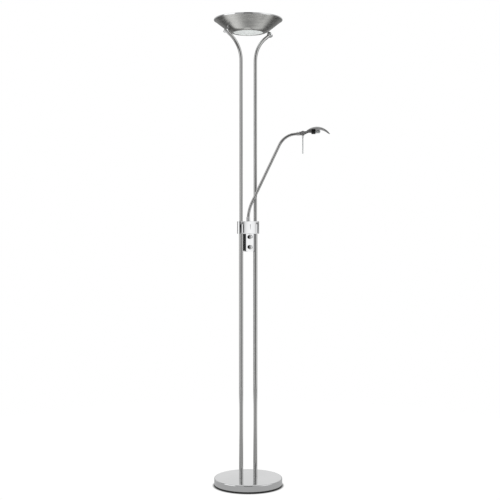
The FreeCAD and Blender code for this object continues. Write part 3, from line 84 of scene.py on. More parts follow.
def soften(outline: Sequence[Corner], steps: int = 5) -> list[Point]:
    """Rounds the corners of a closed outline that carry a radius.

    Args:
        outline: Corners as (x, y) or (x, y, radius).
        steps: Facets in each rounded corner.

    Returns:
        The points of the rounded outline.
    """
    points: list[Point] = []
    count = len(outline)
    for index, corner in enumerate(outline):
        here = Vector(corner[:2])
        radius = corner[2] if len(corner) > 2 else 0.0
        if radius <= 0.0:
            points.append((here.x, here.y))
            continue
        back = (Vector(outline[index - 1][:2]) - here).normalized()
        ahead = (Vector(outline[(index + 1) % count][:2]) - here).normalized()
        opening = back.angle(ahead)
        reach = radius / math.tan(opening / 2)
        centre = here + (back + ahead).normalized() * radius / math.sin(opening / 2)
        first = here + back * reach - centre
        last = here + ahead * reach - centre
        start = math.atan2(first.y, first.x)
        turn = math.atan2(last.y, last.x) - start
        turn = (turn + math.pi) % (2 * math.pi) - math.pi
        for step in range(steps + 1):
            angle = start + turn * step / steps
            points.append(around(centre, radius, angle))
    return points


def arc(start: Point, stop: Point, radius: float, steps: int = 12) -> list[Point]:
    """Points of an arc, without its last one.

    Args:
        start: First point.
        stop: Point that the arc leads to.
        radius: Positive for an arc that turns left, negative for right.
        steps: Facets in the arc.

    Returns:
        The points from start up to the one before stop.
    """
    a, b = Vector(start), Vector(stop)
    chord = b - a
    half = chord.length / 2
    side = Vector((-chord.y, chord.x)).normalized() * math.copysign(1.0, radius)
    centre = a + chord / 2 + side * math.sqrt(radius * radius - half * half)
    first, last = a - centre, b - centre
    begin = math.atan2(first.y, first.x)
    turn = (math.atan2(last.y, last.x) - begin + math.pi) % (2 * math.pi) - math.pi
    return [around(centre, abs(radius), begin + turn * i / steps) for i in range(steps)]


class FlatPath:
    """A path in a plane, walked from a start in straight runs and bends, first upwards."""

    def __init__(self, reach: float, height: float) -> None:
        """Starts the path.

        Args:
            reach: Distance of the start from the axis.
            height: Height of the start.
        """
        self.heading = 0.0
        self.points: list[Point] = [(reach, height)]

    def run(self, length: float) -> "FlatPath":
        """Walks straight on.

        Args:
            length: How far.

        Returns:
            The path itself.
        """
        x, z = self.points[-1]
        self.points.append(
            (x + length * math.sin(self.heading), z + length * math.cos(self.heading))
        )
        return self

    def bend(self, radius: float, degrees: float, step: float = 1.5) -> "FlatPath":
        """Walks an arc outwards.

        Args:
            radius: Radius of the arc.
            degrees: Angle that the heading turns through.
            step: Degrees in each facet, about.

        Returns:
            The path.
        """
        count = max(2, round(degrees / step))
        x, z = self.points[-1]
        centre = (x + radius * math.cos(self.heading), z - radius * math.sin(self.heading))
        first = self.heading
        for i in range(1, count + 1):
            self.heading = first + math.radians(degrees) * i / count
            self.points.append(
                (
                    centre[0] - radius * math.cos(self.heading),
                    centre[1] + radius * math.sin(self.heading),
                )
            )
        return self

    def stand(self, azimuth: float) -> list[Vector]:
        """The path's points in space, in the upright plane at an azimuth in degrees."""
        turn = math.radians(azimuth)
        return [Vector((x * math.cos(turn), x * math.sin(turn), z)) for x, z in self.points]


# ---- meshes


def place_on(origin: Sequence[float], axis: Sequence[float]) -> Matrix:
    """A frame whose Z runs along an axis and whose X stays as level as it can."""
    turn = Vector(axis).normalized().to_track_quat("Z", "Y").to_matrix().to_4x4()
    return Matrix.Translation(Vector(origin)) @ turn


def smooth(mesh: Mesh, degrees: float = 32.0) -> None:
    """Shades a mesh smooth.

    Args:
        mesh: The mesh.
        degrees: Faces that meet at more than this angle get a sharp edge.
    """
    mesh.polygons.foreach_set("use_smooth", [True] * len(mesh.polygons))
    mesh.set_sharp_from_angle(angle=math.radians(degrees))
    mesh.update()


def new_object(name: str, mesh: Mesh) -> Object:
    """Links a mesh to the scene at the origin.

    Args:
        name: Name of the object and of its mesh.
        mesh: The mesh.

    Returns:
        The object.
    """
    mesh.name = name
    made = bpy.data.objects.new(name, mesh)
    bpy.context.scene.collection.objects.link(made)
    return made


def mesh_from(name: str, shape: BMesh) -> Mesh:
    """Turns a bmesh into a mesh and frees it.

    Args:
        name: Name of the mesh.
        shape: The bmesh.

    Returns:
        The mesh.
    """
    mesh = bpy.data.meshes.new(name)
    shape.to_mesh(mesh)
    shape.free()
    return mesh


def from_bmesh(name: str, shape: BMesh) -> Object:
    """Turns a bmesh into a smooth-shaded object whose faces point outwards.

    Args:
        name: Name of the object.
        shape: The bmesh, which is freed.

    Returns:
        The object.
    """
    bmesh.ops.remove_doubles(shape, verts=shape.verts, dist=1e-7)
    bmesh.ops.recalc_face_normals(shape, faces=shape.faces)
    mesh = mesh_from(name, shape)
    smooth(mesh)
    return new_object(name, mesh)


def spin_into(shape: BMesh, outline: Sequence[Point], place: Matrix, sides: int) -> None:
    """Adds a turned solid to a bmesh.

    Args:
        shape: The bmesh that takes the solid.
        outline: Closed outline as (radius, height).
        place: Frame of the solid; it turns about Z.
        sides: Facets round the axis.
    """
    axis = Vector((0, 0))
    rings: list[list[BMVert]] = []
    for radius, height in outline:
        count, reach = (sides, radius) if radius >= 1e-8 else (1, 0.0)
        spots = (around(axis, reach, 2 * math.pi * k / sides) for k in range(count))
        rings.append([shape.verts.new(place @ Vector((*spot, height))) for spot in spots])
    for index, ring in enumerate(rings):
        after = rings[(index + 1) % len(rings)]
        if len(ring) == 1 and len(after) == 1:
            continue
        for k in range(sides):
            corners = (
                ring[k % len(ring)],
                ring[(k + 1) % len(ring)],
                after[(k + 1) % len(after)],
                after[k % len(after)],
            )
            unique = list(dict.fromkeys(corners))
            shape.faces.new(unique)


def turned(
    name: str,
    outlines: Sequence[Sequence[Corner]],
    places: Sequence[Matrix] = (Matrix.Identity(4),),
    sides: int = 96,
    steps: int = 5,
) -> Object:
    """A piece made of turned solids.

    Args:
        name: Name of the piece.
        outlines: Closed outlines as (radius, height) or (radius, height, corner radius).
        places: Frames in which every outline is turned about Z.
        sides: Facets round the axis.
        steps: Facets in each rounded corner.

    Returns:
        The piece as an object at the origin.
    """
    shape = bmesh.new()
    for place in places:
        for outline in outlines:
            spin_into(shape, soften(outline, steps), place, sides)
    return from_bmesh(name, shape)


def boxes(name: str, spots: Iterable[tuple[Sequence[float], Sequence[float]]]) -> Object:
    """Plain blocks in one object, for use as cutters or as seeds of a row.

    Args:
        name: Name of the object.
        spots: Centre and full size of each block.

    Returns:
        The object.
    """
    shape = bmesh.new()
    for centre, size in spots:
        matrix = Matrix.Translation(Vector(centre)) @ Matrix.Diagonal((*size, 1.0))
        bmesh.ops.create_cube(shape, size=1.0, matrix=matrix)
    return from_bmesh(name, shape)


def flatten(thing: Object) -> Object:
    """Applies every modifier of an object and leaves a plain mesh on it.

    Args:
        thing: The object.

    Returns:
        The same object.
    """
    bpy.context.view_layer.update()
    graph = bpy.context.evaluated_depsgraph_get()
    mesh = bpy.data.meshes.new_from_object(thing.evaluated_get(graph))
    old = thing.data
    thing.modifiers.clear()
    thing.data = mesh
    mesh.name = thing.name
    if old.users == 0:
        bpy.data.meshes.remove(old)
    return thing


def boolean(thing: Object, operation: str, *tools: Object) -> Object:
    """Applies exact booleans to an object and removes the tools.

    Args:
        thing: The object.
        operation: DIFFERENCE or INTERSECT.
        tools: The objects that it is cut by.

    Returns:
        The same object.
    """
    for tool in tools:
        modifier = thing.modifiers.new("boolean", "BOOLEAN")
        modifier.object = tool
        modifier.operation = operation
        modifier.solver = "EXACT"
    flatten(thing)
    for tool in tools:
        bpy.data.objects.remove(tool)
    return thing


def cut(thing: Object, *tools: Object) -> Object:
    """Cuts tools out of a piece, shades it smooth and removes the tools."""
    smooth(boolean(thing, "DIFFERENCE", *tools).data)
    return thing


def bevel(thing: Object, width: float, segments: int, degrees: float) -> Modifier:
    """Adds a bevel to an object.

    Args:
        thing: The object.
        width: Width of the softened edges.
        segments: Facets across a softened edge.
        degrees: Smallest angle between faces that counts as an edge.

    Returns:
        The modifier.
    """
    edges = thing.modifiers.new("edges", "BEVEL")
    edges.width = width
    edges.segments = segments
    edges.limit_method = "ANGLE"
    edges.angle_limit = math.radians(degrees)
    return edges


def weighted(thing: Object, weight: int = 50) -> Object:
    """Weights an object's normals by its faces and applies its modifiers.

    Args:
        thing: The object.
        weight: How much the larger faces count.

    Returns:
        The same object.
    """
    normals = thing.modifiers.new("normals", "WEIGHTED_NORMAL")
    normals.keep_sharp = True
    normals.weight = weight
    return flatten(thing)


def joined(name: str, *things: Object) -> Object:
    """Joins objects that all sit at the origin.

    Args:
        name: Name of the new object.
        things: The objects, which are removed.

    Returns:
        The new object.
    """
    shape = bmesh.new()
    for thing in things:
        shape.from_mesh(thing.data)
    mesh = mesh_from(name, shape)
    for thing in things:
        bpy.data.objects.remove(thing)
    smooth(mesh)
    return new_object(name, mesh)


def prism(name: str, outline: Sequence[Point], low: float, high: float) -> Object:
    """An upright block over a closed outline.

    Args:
        name: Name of the object.
        outline: Points of the outline as (x, y).
        low: Height of its underside.
        high: Height of its top.

    Returns:
        The object.
    """
    shape = bmesh.new()
    rings = [[shape.verts.new((x, y, z)) for x, y in outline] for z in (low, high)]
    shape.faces.new(rings[0])
    shape.faces.new(rings[1])
    for k in range(len(outline)):
        after = (k + 1) % len(outline)
        shape.faces.new((rings[0][k], rings[0][after], rings[1][after], rings[1][k]))
    return from_bmesh(name, shape)


def crowned(thing: Object, block: Object, ease: float) -> Object:
    """Keeps what of a piece lies inside a block, and eases its edges.

    Args:
        thing: The piece.
        block: The block, which is removed.
        ease: Width of the softened edges.

    Returns:
        The piece.
    """
    bevel(boolean(thing, "INTERSECT", block), ease, 4, 40.0)
    smooth(flatten(thing).data)
    return weighted(thing, 100)


def seed_of(thing: Object) -> Mesh:
    """Takes the mesh of a helper object, which is removed.

    Args:
        thing: The helper object.

    Returns:
        Its mesh.
    """
    mesh = thing.data
    bpy.data.objects.remove(thing)
    return mesh


def refined(
    node: str, name: str, edge: float = 0.25 * MM, segments: int = 2, degrees: float = 30.0
) -> Object:
    """A merged copy of a CAD node with its edges softened.

    Args:
        node: The CAD node.
        name: Name of the copy.
        edge: Width of the softened edges, or 0 for none.
        segments: Facets across a softened edge.
        degrees: Smallest angle between faces that counts as an edge.

    Returns:
        The copy as an object at the origin.
    """
    shape = bmesh.new()
    shape.from_mesh(frame["nodes"][node].data)
    bmesh.ops.remove_doubles(shape, verts=shape.verts, dist=2e-6)
    bmesh.ops.dissolve_limit(
        shape, angle_limit=math.radians(0.6), verts=shape.verts, edges=shape.edges
    )
    made = new_object(name, mesh_from(name, shape))
    if edge <= 0.0:
        return made
    bevel(made, edge, segments, degrees).miter_outer = "MITER_ARC"
    faces = made.data.polygons
    faces.foreach_set("use_smooth", [True] * len(faces))
    return weighted(made)


# ---- node trees

FLOAT = "NodeSocketFloat"
VECTOR = "NodeSocketVector"
WHOLE = "NodeSocketInt"


def wire(tree: NodeTree, node: Node, inputs: dict[str, object]) -> None:
    """Sets or links a node's inputs.

    Args:
        tree: The tree that the node stands in.
        node: The node.
        inputs: Values or sockets by the input's name, with _ for a blank, or by in0, in1 and so
            on for its position.
    """
    for key, setting in inputs.items():
        label = key.replace("_", " ").strip()
        if label.startswith("in") and label[2:].isdigit():
            socket = node.inputs[int(label[2:])]
        else:
            socket = next(s for s in node.inputs if s.name == label and s.enabled)
        if isinstance(setting, NodeSocket):
            tree.links.new(setting, socket)
        else:
            socket.default_value = setting


class Net:
    """Adds nodes to a node tree and links them by name."""

    prefix = "ShaderNode"

    def __init__(self, tree: NodeTree) -> None:
        """Takes the node tree to work on."""
        self.tree = tree

    def add(
        self, kind: str, settings: dict[str, object] | None = None, **inputs: object
    ) -> Node:
        """Adds a node.

        Args:
            kind: Blender's name of the node; this kind of tree's own prefix may be left out.
            settings: Properties of the node itself.
            inputs: Values or sockets for its inputs, as in wire.

        Returns:
            The node.
        """
        node = self.tree.nodes.new(kind if kind.startswith("Shader") else self.prefix + kind)
        for key, setting in (settings or {}).items():
            setattr(node, key, setting)
        wire(self.tree, node, inputs)
        return node

    def math(self, operation: str, *values: object) -> NodeSocket:
        """The result of a math node over values or sockets."""
        inputs = {f"in{i}": value for i, value in enumerate(values)}
        return self.add("ShaderNodeMath", {"operation": operation}, **inputs).outputs[0]

    def times(self, first: object, second: object) -> NodeSocket:
        """The product of two values or sockets."""
        return self.math("MULTIPLY", first, second)

    def plus(self, first: object, second: object) -> NodeSocket:
        """The sum of two values or sockets."""
        return self.math("ADD", first, second)

    def rest(self, value: object) -> NodeSocket:
        """What is left of one."""
        return self.math("SUBTRACT", 1.0, value)

    def vector(self, operation: str, first: object, second: object) -> NodeSocket:
        """A vector math node.

        Args:
            operation: What the node does.
            first: First vector or socket.
            second: Second vector or socket.

        Returns:
            The vector it gives.
        """
        node = self.add("VectorMath", {"operation": operation}, in0=first, in1=second)
        return node.outputs["Vector"]

    def stretch(
        self, value: object, low: float, high: float, to_low: float = 0.0, to_high: float = 1.0
    ) -> NodeSocket:
        """A value mapped from one range to another and held inside it.

        Args:
            value: The value or socket.
            low: Start of its range.
            high: End of its range.
            to_low: What the start becomes.
            to_high: What the end becomes.

        Returns:
            The result.
        """
        span = {"From_Min": low, "From_Max": high, "To_Min": to_low, "To_Max": to_high}
        return self.add("MapRange", Value=value, **span).outputs[0]

    def noise(
        self, vector: object, scale: object, detail: float = 3.0, rough: float = 0.5
    ) -> NodeSocket:
        """The value of a noise texture.

        Args:
            vector: Where it is read.
            scale: How fine it is.
            detail: Its number of octaves.
            rough: How much the finer octaves count.

        Returns:
            The value.
        """
        node = self.add("TexNoise", Vector=vector, Scale=scale, Detail=detail, Roughness=rough)
        return node.outputs[0]


class Grower(Net):
    """A geometry node tree with named inputs that grows a plain mesh."""

    prefix = "GeometryNode"

    def __init__(self, name: str, inputs: dict[str, tuple[str, float | int | None]]) -> None:
        """Makes the tree and its sockets.

        Args:
            name: Name of the tree.
            inputs: For each named input, its socket type and its default.
        """
        super().__init__(bpy.data.node_groups.new(name, "GeometryNodeTree"))
        face = self.tree.interface
        face.new_socket("Geometry", in_out="OUTPUT", socket_type="NodeSocketGeometry")
        face.new_socket("Geometry", in_out="INPUT", socket_type="NodeSocketGeometry")
        self.keys: dict[str, str] = {}
        for label, (kind, default) in {**inputs, "Finish": ("NodeSocketMaterial", None)}.items():
            socket = face.new_socket(label, in_out="INPUT", socket_type=kind)
            if default is not None:
                socket.default_value = default
            self.keys[label] = socket.identifier
        self.start = self.tree.nodes.new("NodeGroupInput")
        self.last = self.tree.nodes.new("NodeGroupOutput")

    def given(self, label: str) -> NodeSocket:
        """The tree's own input of that name."""
        return self.start.outputs[label]

    def sweep(self, curve: NodeSocket, radius: str) -> NodeSocket:
        """A round section run along a curve and closed at its ends.

        Args:
            curve: The curve.
            radius: The tree's own input that gives the section's radius.

        Returns:
            The solid.
        """
        ring = self.add(
            "CurvePrimitiveCircle", Resolution=self.given("Sides"), Radius=self.given(radius)
        )
        section = ring.outputs[0]
        return self.add(
            "CurveToMesh", Curve=curve, Profile_Curve=section, Fill_Caps=True
        ).outputs[0]

    def copies(self, points: NodeSocket, **inputs: object) -> NodeSocket:
        """A copy of the seed on each point."""
        seed = self.given("Geometry")
        return self.add("InstanceOnPoints", Points=points, Instance=seed, **inputs).outputs[0]

    def close(self, geometry: NodeSocket) -> "Grower":
        """Ends the tree with real geometry, smooth shading and a finish.

        Args:
            geometry: What the tree has made.

        Returns:
            The tree.
        """
        real = self.add("RealizeInstances", Geometry=geometry)
        soft = self.add("SetShadeSmooth", Geometry=real.outputs[0])
        done = self.add("SetMaterial", Geometry=soft.outputs[0], Material=self.given("Finish"))
        self.tree.links.new(done.outputs[0], self.last.inputs[0])
        return self

    def grow(
        self,
        name: str,
        seed: Mesh | None = None,
        place: Matrix | None = None,
        finish: Material | None = None,
        **inputs: float | int,
    ) -> Object:
        """Runs the tree and keeps its result as a plain mesh.

        Args:
            name: Name of the new piece.
            seed: Mesh that the tree starts from.
            place: Frame that the result is set in.
            finish: Material of the result.
            inputs: The tree's named inputs, with _ for a blank.

        Returns:
            The piece as an object at the origin.
        """
        made = new_object(name, seed or bpy.data.meshes.new(name))
        modifier = made.modifiers.new("grow", "NODES")
        modifier.node_group = self.tree
        for label, setting in inputs.items():
            modifier[self.keys[label.replace("_", " ")]] = setting
        if finish:
            modifier[self.keys["Finish"]] = finish
        flatten(made)
        if place is not None:
            made.data.transform(place)
        smooth(made.data)
        return made


def tube_grower() -> Grower:
    """A round rod that follows a line of edges.

    Returns:
        The grower.
    """
    made = Grower("bent_tube", {"Radius": (FLOAT, 0.005), "Sides": (WHOLE, 48)})
    line = made.add("MeshToCurve", Mesh=made.given("Geometry"))
    return made.close(made.sweep(line.outputs[0], "Radius"))


def coil_grower() -> Grower:
    """A round wire wound into a coil along Z, which also serves as a screw thread.

    Returns:
        The grower.
    """
    inputs = {"Turns": (FLOAT, 10.0), "Radius": (FLOAT, 0.001), "Length": (FLOAT, 0.01)}
    inputs |= {"Wire": (FLOAT, 0.0001), "Steps": (WHOLE, 16), "Sides": (WHOLE, 6)}
    made = Grower("wound_wire", inputs)
    spiral = made.add(
        "CurveSpiral",
        Resolution=made.given("Steps"),
        Rotations=made.given("Turns"),
        Start_Radius=made.given("Radius"),
        End_Radius=made.given("Radius"),
        Height=made.given("Length"),
    )
    return made.close(made.sweep(spiral.outputs[0], "Wire"))


def ring_grower() -> Grower:
    """Copies of a seed set round Z, each turned to face outwards.

    Returns:
        The grower.
    """
    made = Grower("ring_row", {"Count": (WHOLE, 12), "Radius": (FLOAT, 0.01)})
    circle = made.add("MeshCircle", Vertices=made.given("Count"), Radius=made.given("Radius"))
    index = made.add("InputIndex")
    step = made.math("DIVIDE", math.tau, made.given("Count"))
    spin = made.add("ShaderNodeCombineXYZ", Z=made.times(index.outputs[0], step))
    return made.close(made.copies(circle.outputs[0], Rotation=spin.outputs[0]))


def line_grower() -> Grower:
    """Copies of a seed set in a straight row along X, centred on its middle.

    Returns:
        The grower.
    """
    made = Grower("straight_row", {"Count": (WHOLE, 5), "Pitch": (FLOAT, 0.01)})
    count, pitch = made.given("Count"), made.given("Pitch")
    back = made.times(made.times(made.math("SUBTRACT", count, 1.0), pitch), -0.5)
    first = made.add("ShaderNodeCombineXYZ", X=back).outputs[0]
    offset = made.add("ShaderNodeCombineXYZ", X=pitch).outputs[0]
    row = made.add("MeshLine", Count=count, Start_Location=first, Offset=offset)
    return made.close(made.copies(row.outputs[0]))


@dataclass
class Growers:
    """The geometry node trees that the sub-assemblies share."""

    tube: Grower = field(default_factory=tube_grower)
    coil: Grower = field(default_factory=coil_grower)
    ring: Grower = field(default_factory=ring_grower)
    line: Grower = field(default_factory=line_grower)

    def rod(self, name: str, points: Sequence[Vector], radius: float, sides: int) -> Object:
        """A rod along points in space.

        Args:
            name: Name of the rod.
            points: The points of its middle line.
            radius: Its radius.
            sides: Facets round it.

        Returns:
            The rod.
        """
        mesh = bpy.data.meshes.new(name)
        mesh.from_pydata(points, [(i, i + 1) for i in range(len(points) - 1)], [])
        return self.tube.grow(name, seed=mesh, Radius=radius, Sides=sides)


# ---- shader groups


class Effect(Net):
    """A shader group with named inputs whose outputs are plain values."""

    def __init__(
        self, name: str, outputs: tuple[str, ...], **inputs: tuple[str, float | None]
    ) -> None:
        """Makes the group and its sockets.

        Args:
            name: Name of the group.
            outputs: Names of its outputs.
            inputs: For each input, its socket type and its default.
        """
        super().__init__(bpy.data.node_groups.new(name, "ShaderNodeTree"))
        for label, (kind, default) in inputs.items():
            socket = self.tree.interface.new_socket(label, in_out="INPUT", socket_type=kind)
            if default is not None:
                socket.default_value = default
        for label in outputs:
            self.tree.interface.new_socket(label, in_out="OUTPUT", socket_type=FLOAT)
        self.given = self.tree.nodes.new("NodeGroupInput").outputs
        self.last = self.tree.nodes.new("NodeGroupOutput")

    def give(self, **outputs: NodeSocket) -> NodeTree:
        """Links the group's outputs and returns the group."""
        wire(self.tree, self.last, outputs)
        return self.tree


def turned_grain_group() -> NodeTree:
    """Fine rings round Z, as a spun or turned piece has them.

    Returns:
        The node group.
    """
    net = Effect(
        "turned_grain",
        ("Height", "Tone"),
        Vector=(VECTOR, None),
        Pitch=(FLOAT, 0.0004),
        Sweep=(FLOAT, 1.5),
    )
    x, y, z = net.add("SeparateXYZ", Vector=net.given["Vector"]).outputs[:3]
    radius = net.math("SQRT", net.plus(net.times(x, x), net.times(y, y)))
    angle = net.math("ARCTAN2", y, x)
    across = net.math("DIVIDE", net.plus(radius, z), net.given["Pitch"])
    around_y = net.times(net.math("SINE", angle), net.given["Sweep"])
    around_z = net.times(net.math("COSINE", angle), net.given["Sweep"])
    spot = net.add("CombineXYZ", X=across, Y=around_y, Z=around_z).outputs[0]
    broad = net.vector("MULTIPLY", spot, (0.12, 1.0, 1.0))
    return net.give(Height=net.noise(spot, 1.0, 2.0, 0.6), Tone=net.noise(broad, 1.0, 3.0, 0.55))


def drawn_grain_group() -> NodeTree:
    """Fine lines along Z, as a drawn or linished piece has them.

    Returns:
        The node group.
    """
    net = Effect("drawn_grain", ("Height", "Tone"), Vector=(VECTOR, None), Pitch=(FLOAT, 0.0003))
    scaled = net.vector("DIVIDE", net.given["Vector"], (1.0, 1.0, 30.0))
    size = net.math("DIVIDE", 1.0, net.given["Pitch"])
    return net.give(
        Height=net.noise(scaled, size, 2.0, 0.6),
        Tone=net.noise(scaled, net.times(size, 0.1), 2.0, 0.5),
    )


def handling_group() -> NodeTree:
    """Smudges from hands and cloths, and a few fine scratches.

    Returns:
        The node group.
    """
    net = Effect("handling", ("Smudge", "Scratch"), Vector=(VECTOR, None), Scale=(FLOAT, 28.0))
    vector, scale = net.given["Vector"], net.given["Scale"]
    smudge = net.stretch(net.noise(vector, scale, 4.0, 0.62), 0.42, 0.72)
    lines: list[NodeSocket] = []
    for turn in ((0.3, 0.2, 0.7), (1.1, 0.6, 2.1)):
        tilt = net.add("VectorRotate", {"rotation_type": "EULER_XYZ"}, Vector=vector, Rotation=turn)
        thin = net.vector("MULTIPLY", tilt.outputs[0], (1.0, 0.035, 0.035))
        lines.append(net.stretch(net.noise(thin, net.times(scale, 90.0), 1.0, 0.4), 0.7, 0.76))
    return net.give(Smudge=smudge, Scratch=net.math("MAXIMUM", *lines))


def skin_group() -> NodeTree:
    """The pebbled skin of a casting or a moulding, with a slow change of tone.

    Returns:
        The node group.
    """
    net = Effect("pebbled_skin", ("Height", "Tone"), Vector=(VECTOR, None), Grain=(FLOAT, 0.0006))
    vector = net.given["Vector"]
    size = net.math("DIVIDE", 1.0, net.given["Grain"])
    cells = net.add("TexVoronoi", {"feature": "SMOOTH_F1"}, Vector=vector, Scale=size)
    fine = net.noise(vector, net.times(size, 2.3), 2.0, 0.6)
    height = net.plus(net.times(cells.outputs[0], 0.7), net.times(fine, 0.3))
    return net.give(Height=height, Tone=net.noise(vector, net.times(size, 0.04), 4.0, 0.6))


def dust_group() -> NodeTree:
    """Where fine dust settles: on faces that look up, in soft patches.

    Returns:
        The node group.
    """
    net = Effect("settled_dust", ("Dust",), Vector=(VECTOR, None), Normal=(VECTOR, None))
    vector = net.given["Vector"]
    up = net.add("SeparateXYZ", Vector=net.given["Normal"]).outputs[2]
    patch = net.stretch(net.noise(vector, 60.0, 5.0, 0.65), 0.35, 0.75)
    speck = net.stretch(net.noise(vector, 1900.0, 1.0, 0.4), 0.62, 0.74)
    spread = net.plus(net.times(patch, 0.6), speck)
    return net.give(Dust=net.times(net.stretch(up, 0.55, 1.0), spread))


@dataclass
class Effects:
    """The shader groups that the finishes share."""

    turned: NodeTree = field(default_factory=turned_grain_group)
    drawn: NodeTree = field(default_factory=drawn_grain_group)
    handling: NodeTree = field(default_factory=handling_group)
    skin: NodeTree = field(default_factory=skin_group)
    dust: NodeTree = field(default_factory=dust_group)


EFFECTS = Effects()


# ---- finishes

Colour = tuple[float, float, float]


class Grain(Enum):
    """How the lines of a metal's surface run."""

    PLAIN = "plain"
    TURNED = "turned"
    DRAWN = "drawn"


class Surface:
    """A new material with its Principled shader and its object coordinates."""

    def __init__(self, name: str) -> None:
        """Makes the material.

        Args:
            name: Its name.
        """
        self.material = bpy.data.materials.new(name)
        self.material.use_nodes = True
        self.net = Net(self.material.node_tree)
        self.shader = next(
            n for n in self.material.node_tree.nodes if n.type == "BSDF_PRINCIPLED"
        )
        self.coords = self.net.add("TexCoord").outputs["Object"]

    def set(self, **inputs: object) -> None:
        """Sets or links inputs of the Principled shader, with _ for a blank."""
        wire(self.material.node_tree, self.shader, inputs)

    def use(self, group: NodeTree, **inputs: object) -> Node:
        """Places a shader group, fed with the object coordinates.

        Args:
            group: The shader group.
            inputs: Further inputs of the group, with _ for a blank.

        Returns:
            The group's node.
        """
        node = self.net.tree.nodes.new("ShaderNodeGroup")
        node.node_tree = group
        wire(self.net.tree, node, {"Vector": self.coords, **inputs})
        return node

    def blend(self, factor: object, low: object, high: object) -> NodeSocket:
        """A colour between two, by a factor."""
        mix = self.net.add("Mix", {"data_type": "RGBA"}, in0=factor, in6=low, in7=high)
        return mix.outputs[2]

    def toned(self, tone: object, tint: Colour, darker: float, lighter: float) -> NodeSocket:
        """A colour that varies a little.

        Args:
            tone: The value that it varies with.
            tint: The colour.
            darker: Its factor where the value is low.
            lighter: Its factor where the value is high.

        Returns:
            The colour.
        """
        factor = self.net.stretch(tone, 0.3, 0.7)
        return self.blend(factor, (*shade(tint, darker), 1.0), (*shade(tint, lighter), 1.0))

    def dusted(
        self, colour: object, amount: float, dust: Colour
    ) -> tuple[NodeSocket, NodeSocket]:
        """Lays dust over a colour.

        Args:
            colour: The clean colour.
            amount: How thick the dust can get.
            dust: Its colour.

        Returns:
            The dusted colour, and how much dust lies there.
        """
        normal = self.net.add("NewGeometry").outputs["Normal"]
        settled = self.use(EFFECTS.dust, Normal=normal).outputs["Dust"]
        veil = self.net.times(settled, amount)
        return self.blend(veil, colour, (*dust, 1.0)), veil

    def smudged(self, worn: Node, clean: float, dirty: float) -> NodeSocket:
        """A roughness that goes from one value where clean to another where smudged."""
        return self.net.stretch(worn.outputs["Smudge"], 0.0, 1.0, clean, dirty)

    def raise_by(self, *layers: tuple[NodeSocket, float]) -> None:
        """Chains bumps into the shader's normal.

        Args:
            layers: For each bump, its height and its depth in metres.
        """
        normal: NodeSocket | None = None
        for height, depth in layers:
            bump = self.net.add("Bump", Strength=1.0, Distance=depth, Height=height)
            if normal is not None:
                self.net.tree.links.new(normal, bump.inputs["Normal"])
            normal = bump.outputs[0]
        if normal is not None:
            self.set(Normal=normal)


def shade(tint: Colour, factor: float) -> Colour:
    """A colour made darker or lighter."""
    return tuple(min(1.0, max(0.0, part * factor)) for part in tint)


@dataclass(frozen=True)
class Metal:
    """A plated, brushed or bare metal.

    Fields: its colour, its roughness when clean and where smudged, the direction, pitch and depth
    of its grain, how much its tone varies, and the depth of its scratches.
    """

    name: str
    tint: Colour
    polish: float = 0.05
    smudged: float = 0.12
    grain: Grain = Grain.PLAIN
    pitch: float = 0.0004
    depth: float = 0.0
    tone: float = 0.03
    scratch: float = 0.4e-6
    dusty: float = 0.05

    def make(self) -> Material:
        """Builds the material.

        Returns:
            The material.
        """
        surface = Surface(self.name)
        net = surface.net
        worn = surface.use(EFFECTS.handling)
        rough = surface.smudged(worn, self.polish, self.smudged)
        layers: list[tuple[NodeSocket, float]] = []
        if self.grain is Grain.PLAIN:
            spread = net.noise(surface.coords, 9.0, 2.0)
        else:
            group = EFFECTS.turned if self.grain is Grain.TURNED else EFFECTS.drawn
            lines = surface.use(group, Pitch=self.pitch)
            layers.append((lines.outputs["Height"], self.depth))
            spread = lines.outputs["Tone"]
            rough = net.plus(rough, net.stretch(spread, 0.3, 0.7, -0.04, 0.04))
        clean = surface.toned(spread, self.tint, 1 - self.tone, 1 + self.tone)
        colour, veil = surface.dusted(clean, self.dusty, (0.55, 0.54, 0.52))
        rough = net.plus(rough, net.times(veil, 0.5))
        layers.append((worn.outputs["Scratch"], self.scratch))
        surface.set(Base_Color=colour, Metallic=1.0, Roughness=rough)
        surface.raise_by(*layers)
        return surface.material


@dataclass(frozen=True)
class Moulded:
    """A moulded or cast body with a pebbled skin.

    Fields: its colour, its roughness, the size and depth of its skin, how much its tone varies,
    its clear coat, and how metallic it is.
    """

    name: str
    tint: Colour
    rough: float = 0.5
    skin: float = 0.0006
    depth: float = 8e-6
    tone: float = 0.12
    coat: float = 0.0
    metal: float = 0.0
    dusty: float = 0.12

    def make(self) -> Material:
        """Builds the material.

        Returns:
            The material.
        """
        surface = Surface(self.name)
        skin = surface.use(EFFECTS.skin, Grain=self.skin)
        worn = surface.use(EFFECTS.handling, Scale=40.0)
        clean = surface.toned(skin.outputs["Tone"], self.tint, 1 - self.tone, 1 + self.tone)
        colour, _ = surface.dusted(clean, self.dusty, (0.5, 0.49, 0.47))
        rough = surface.smudged(worn, self.rough + 0.04, self.rough - 0.05)
        surface.set(Base_Color=colour, Metallic=self.metal, Roughness=rough)
        surface.shader.inputs["Coat Weight"].default_value = self.coat
        surface.raise_by((skin.outputs["Height"], self.depth), (worn.outputs["Scratch"], 1e-6))
        return surface.material


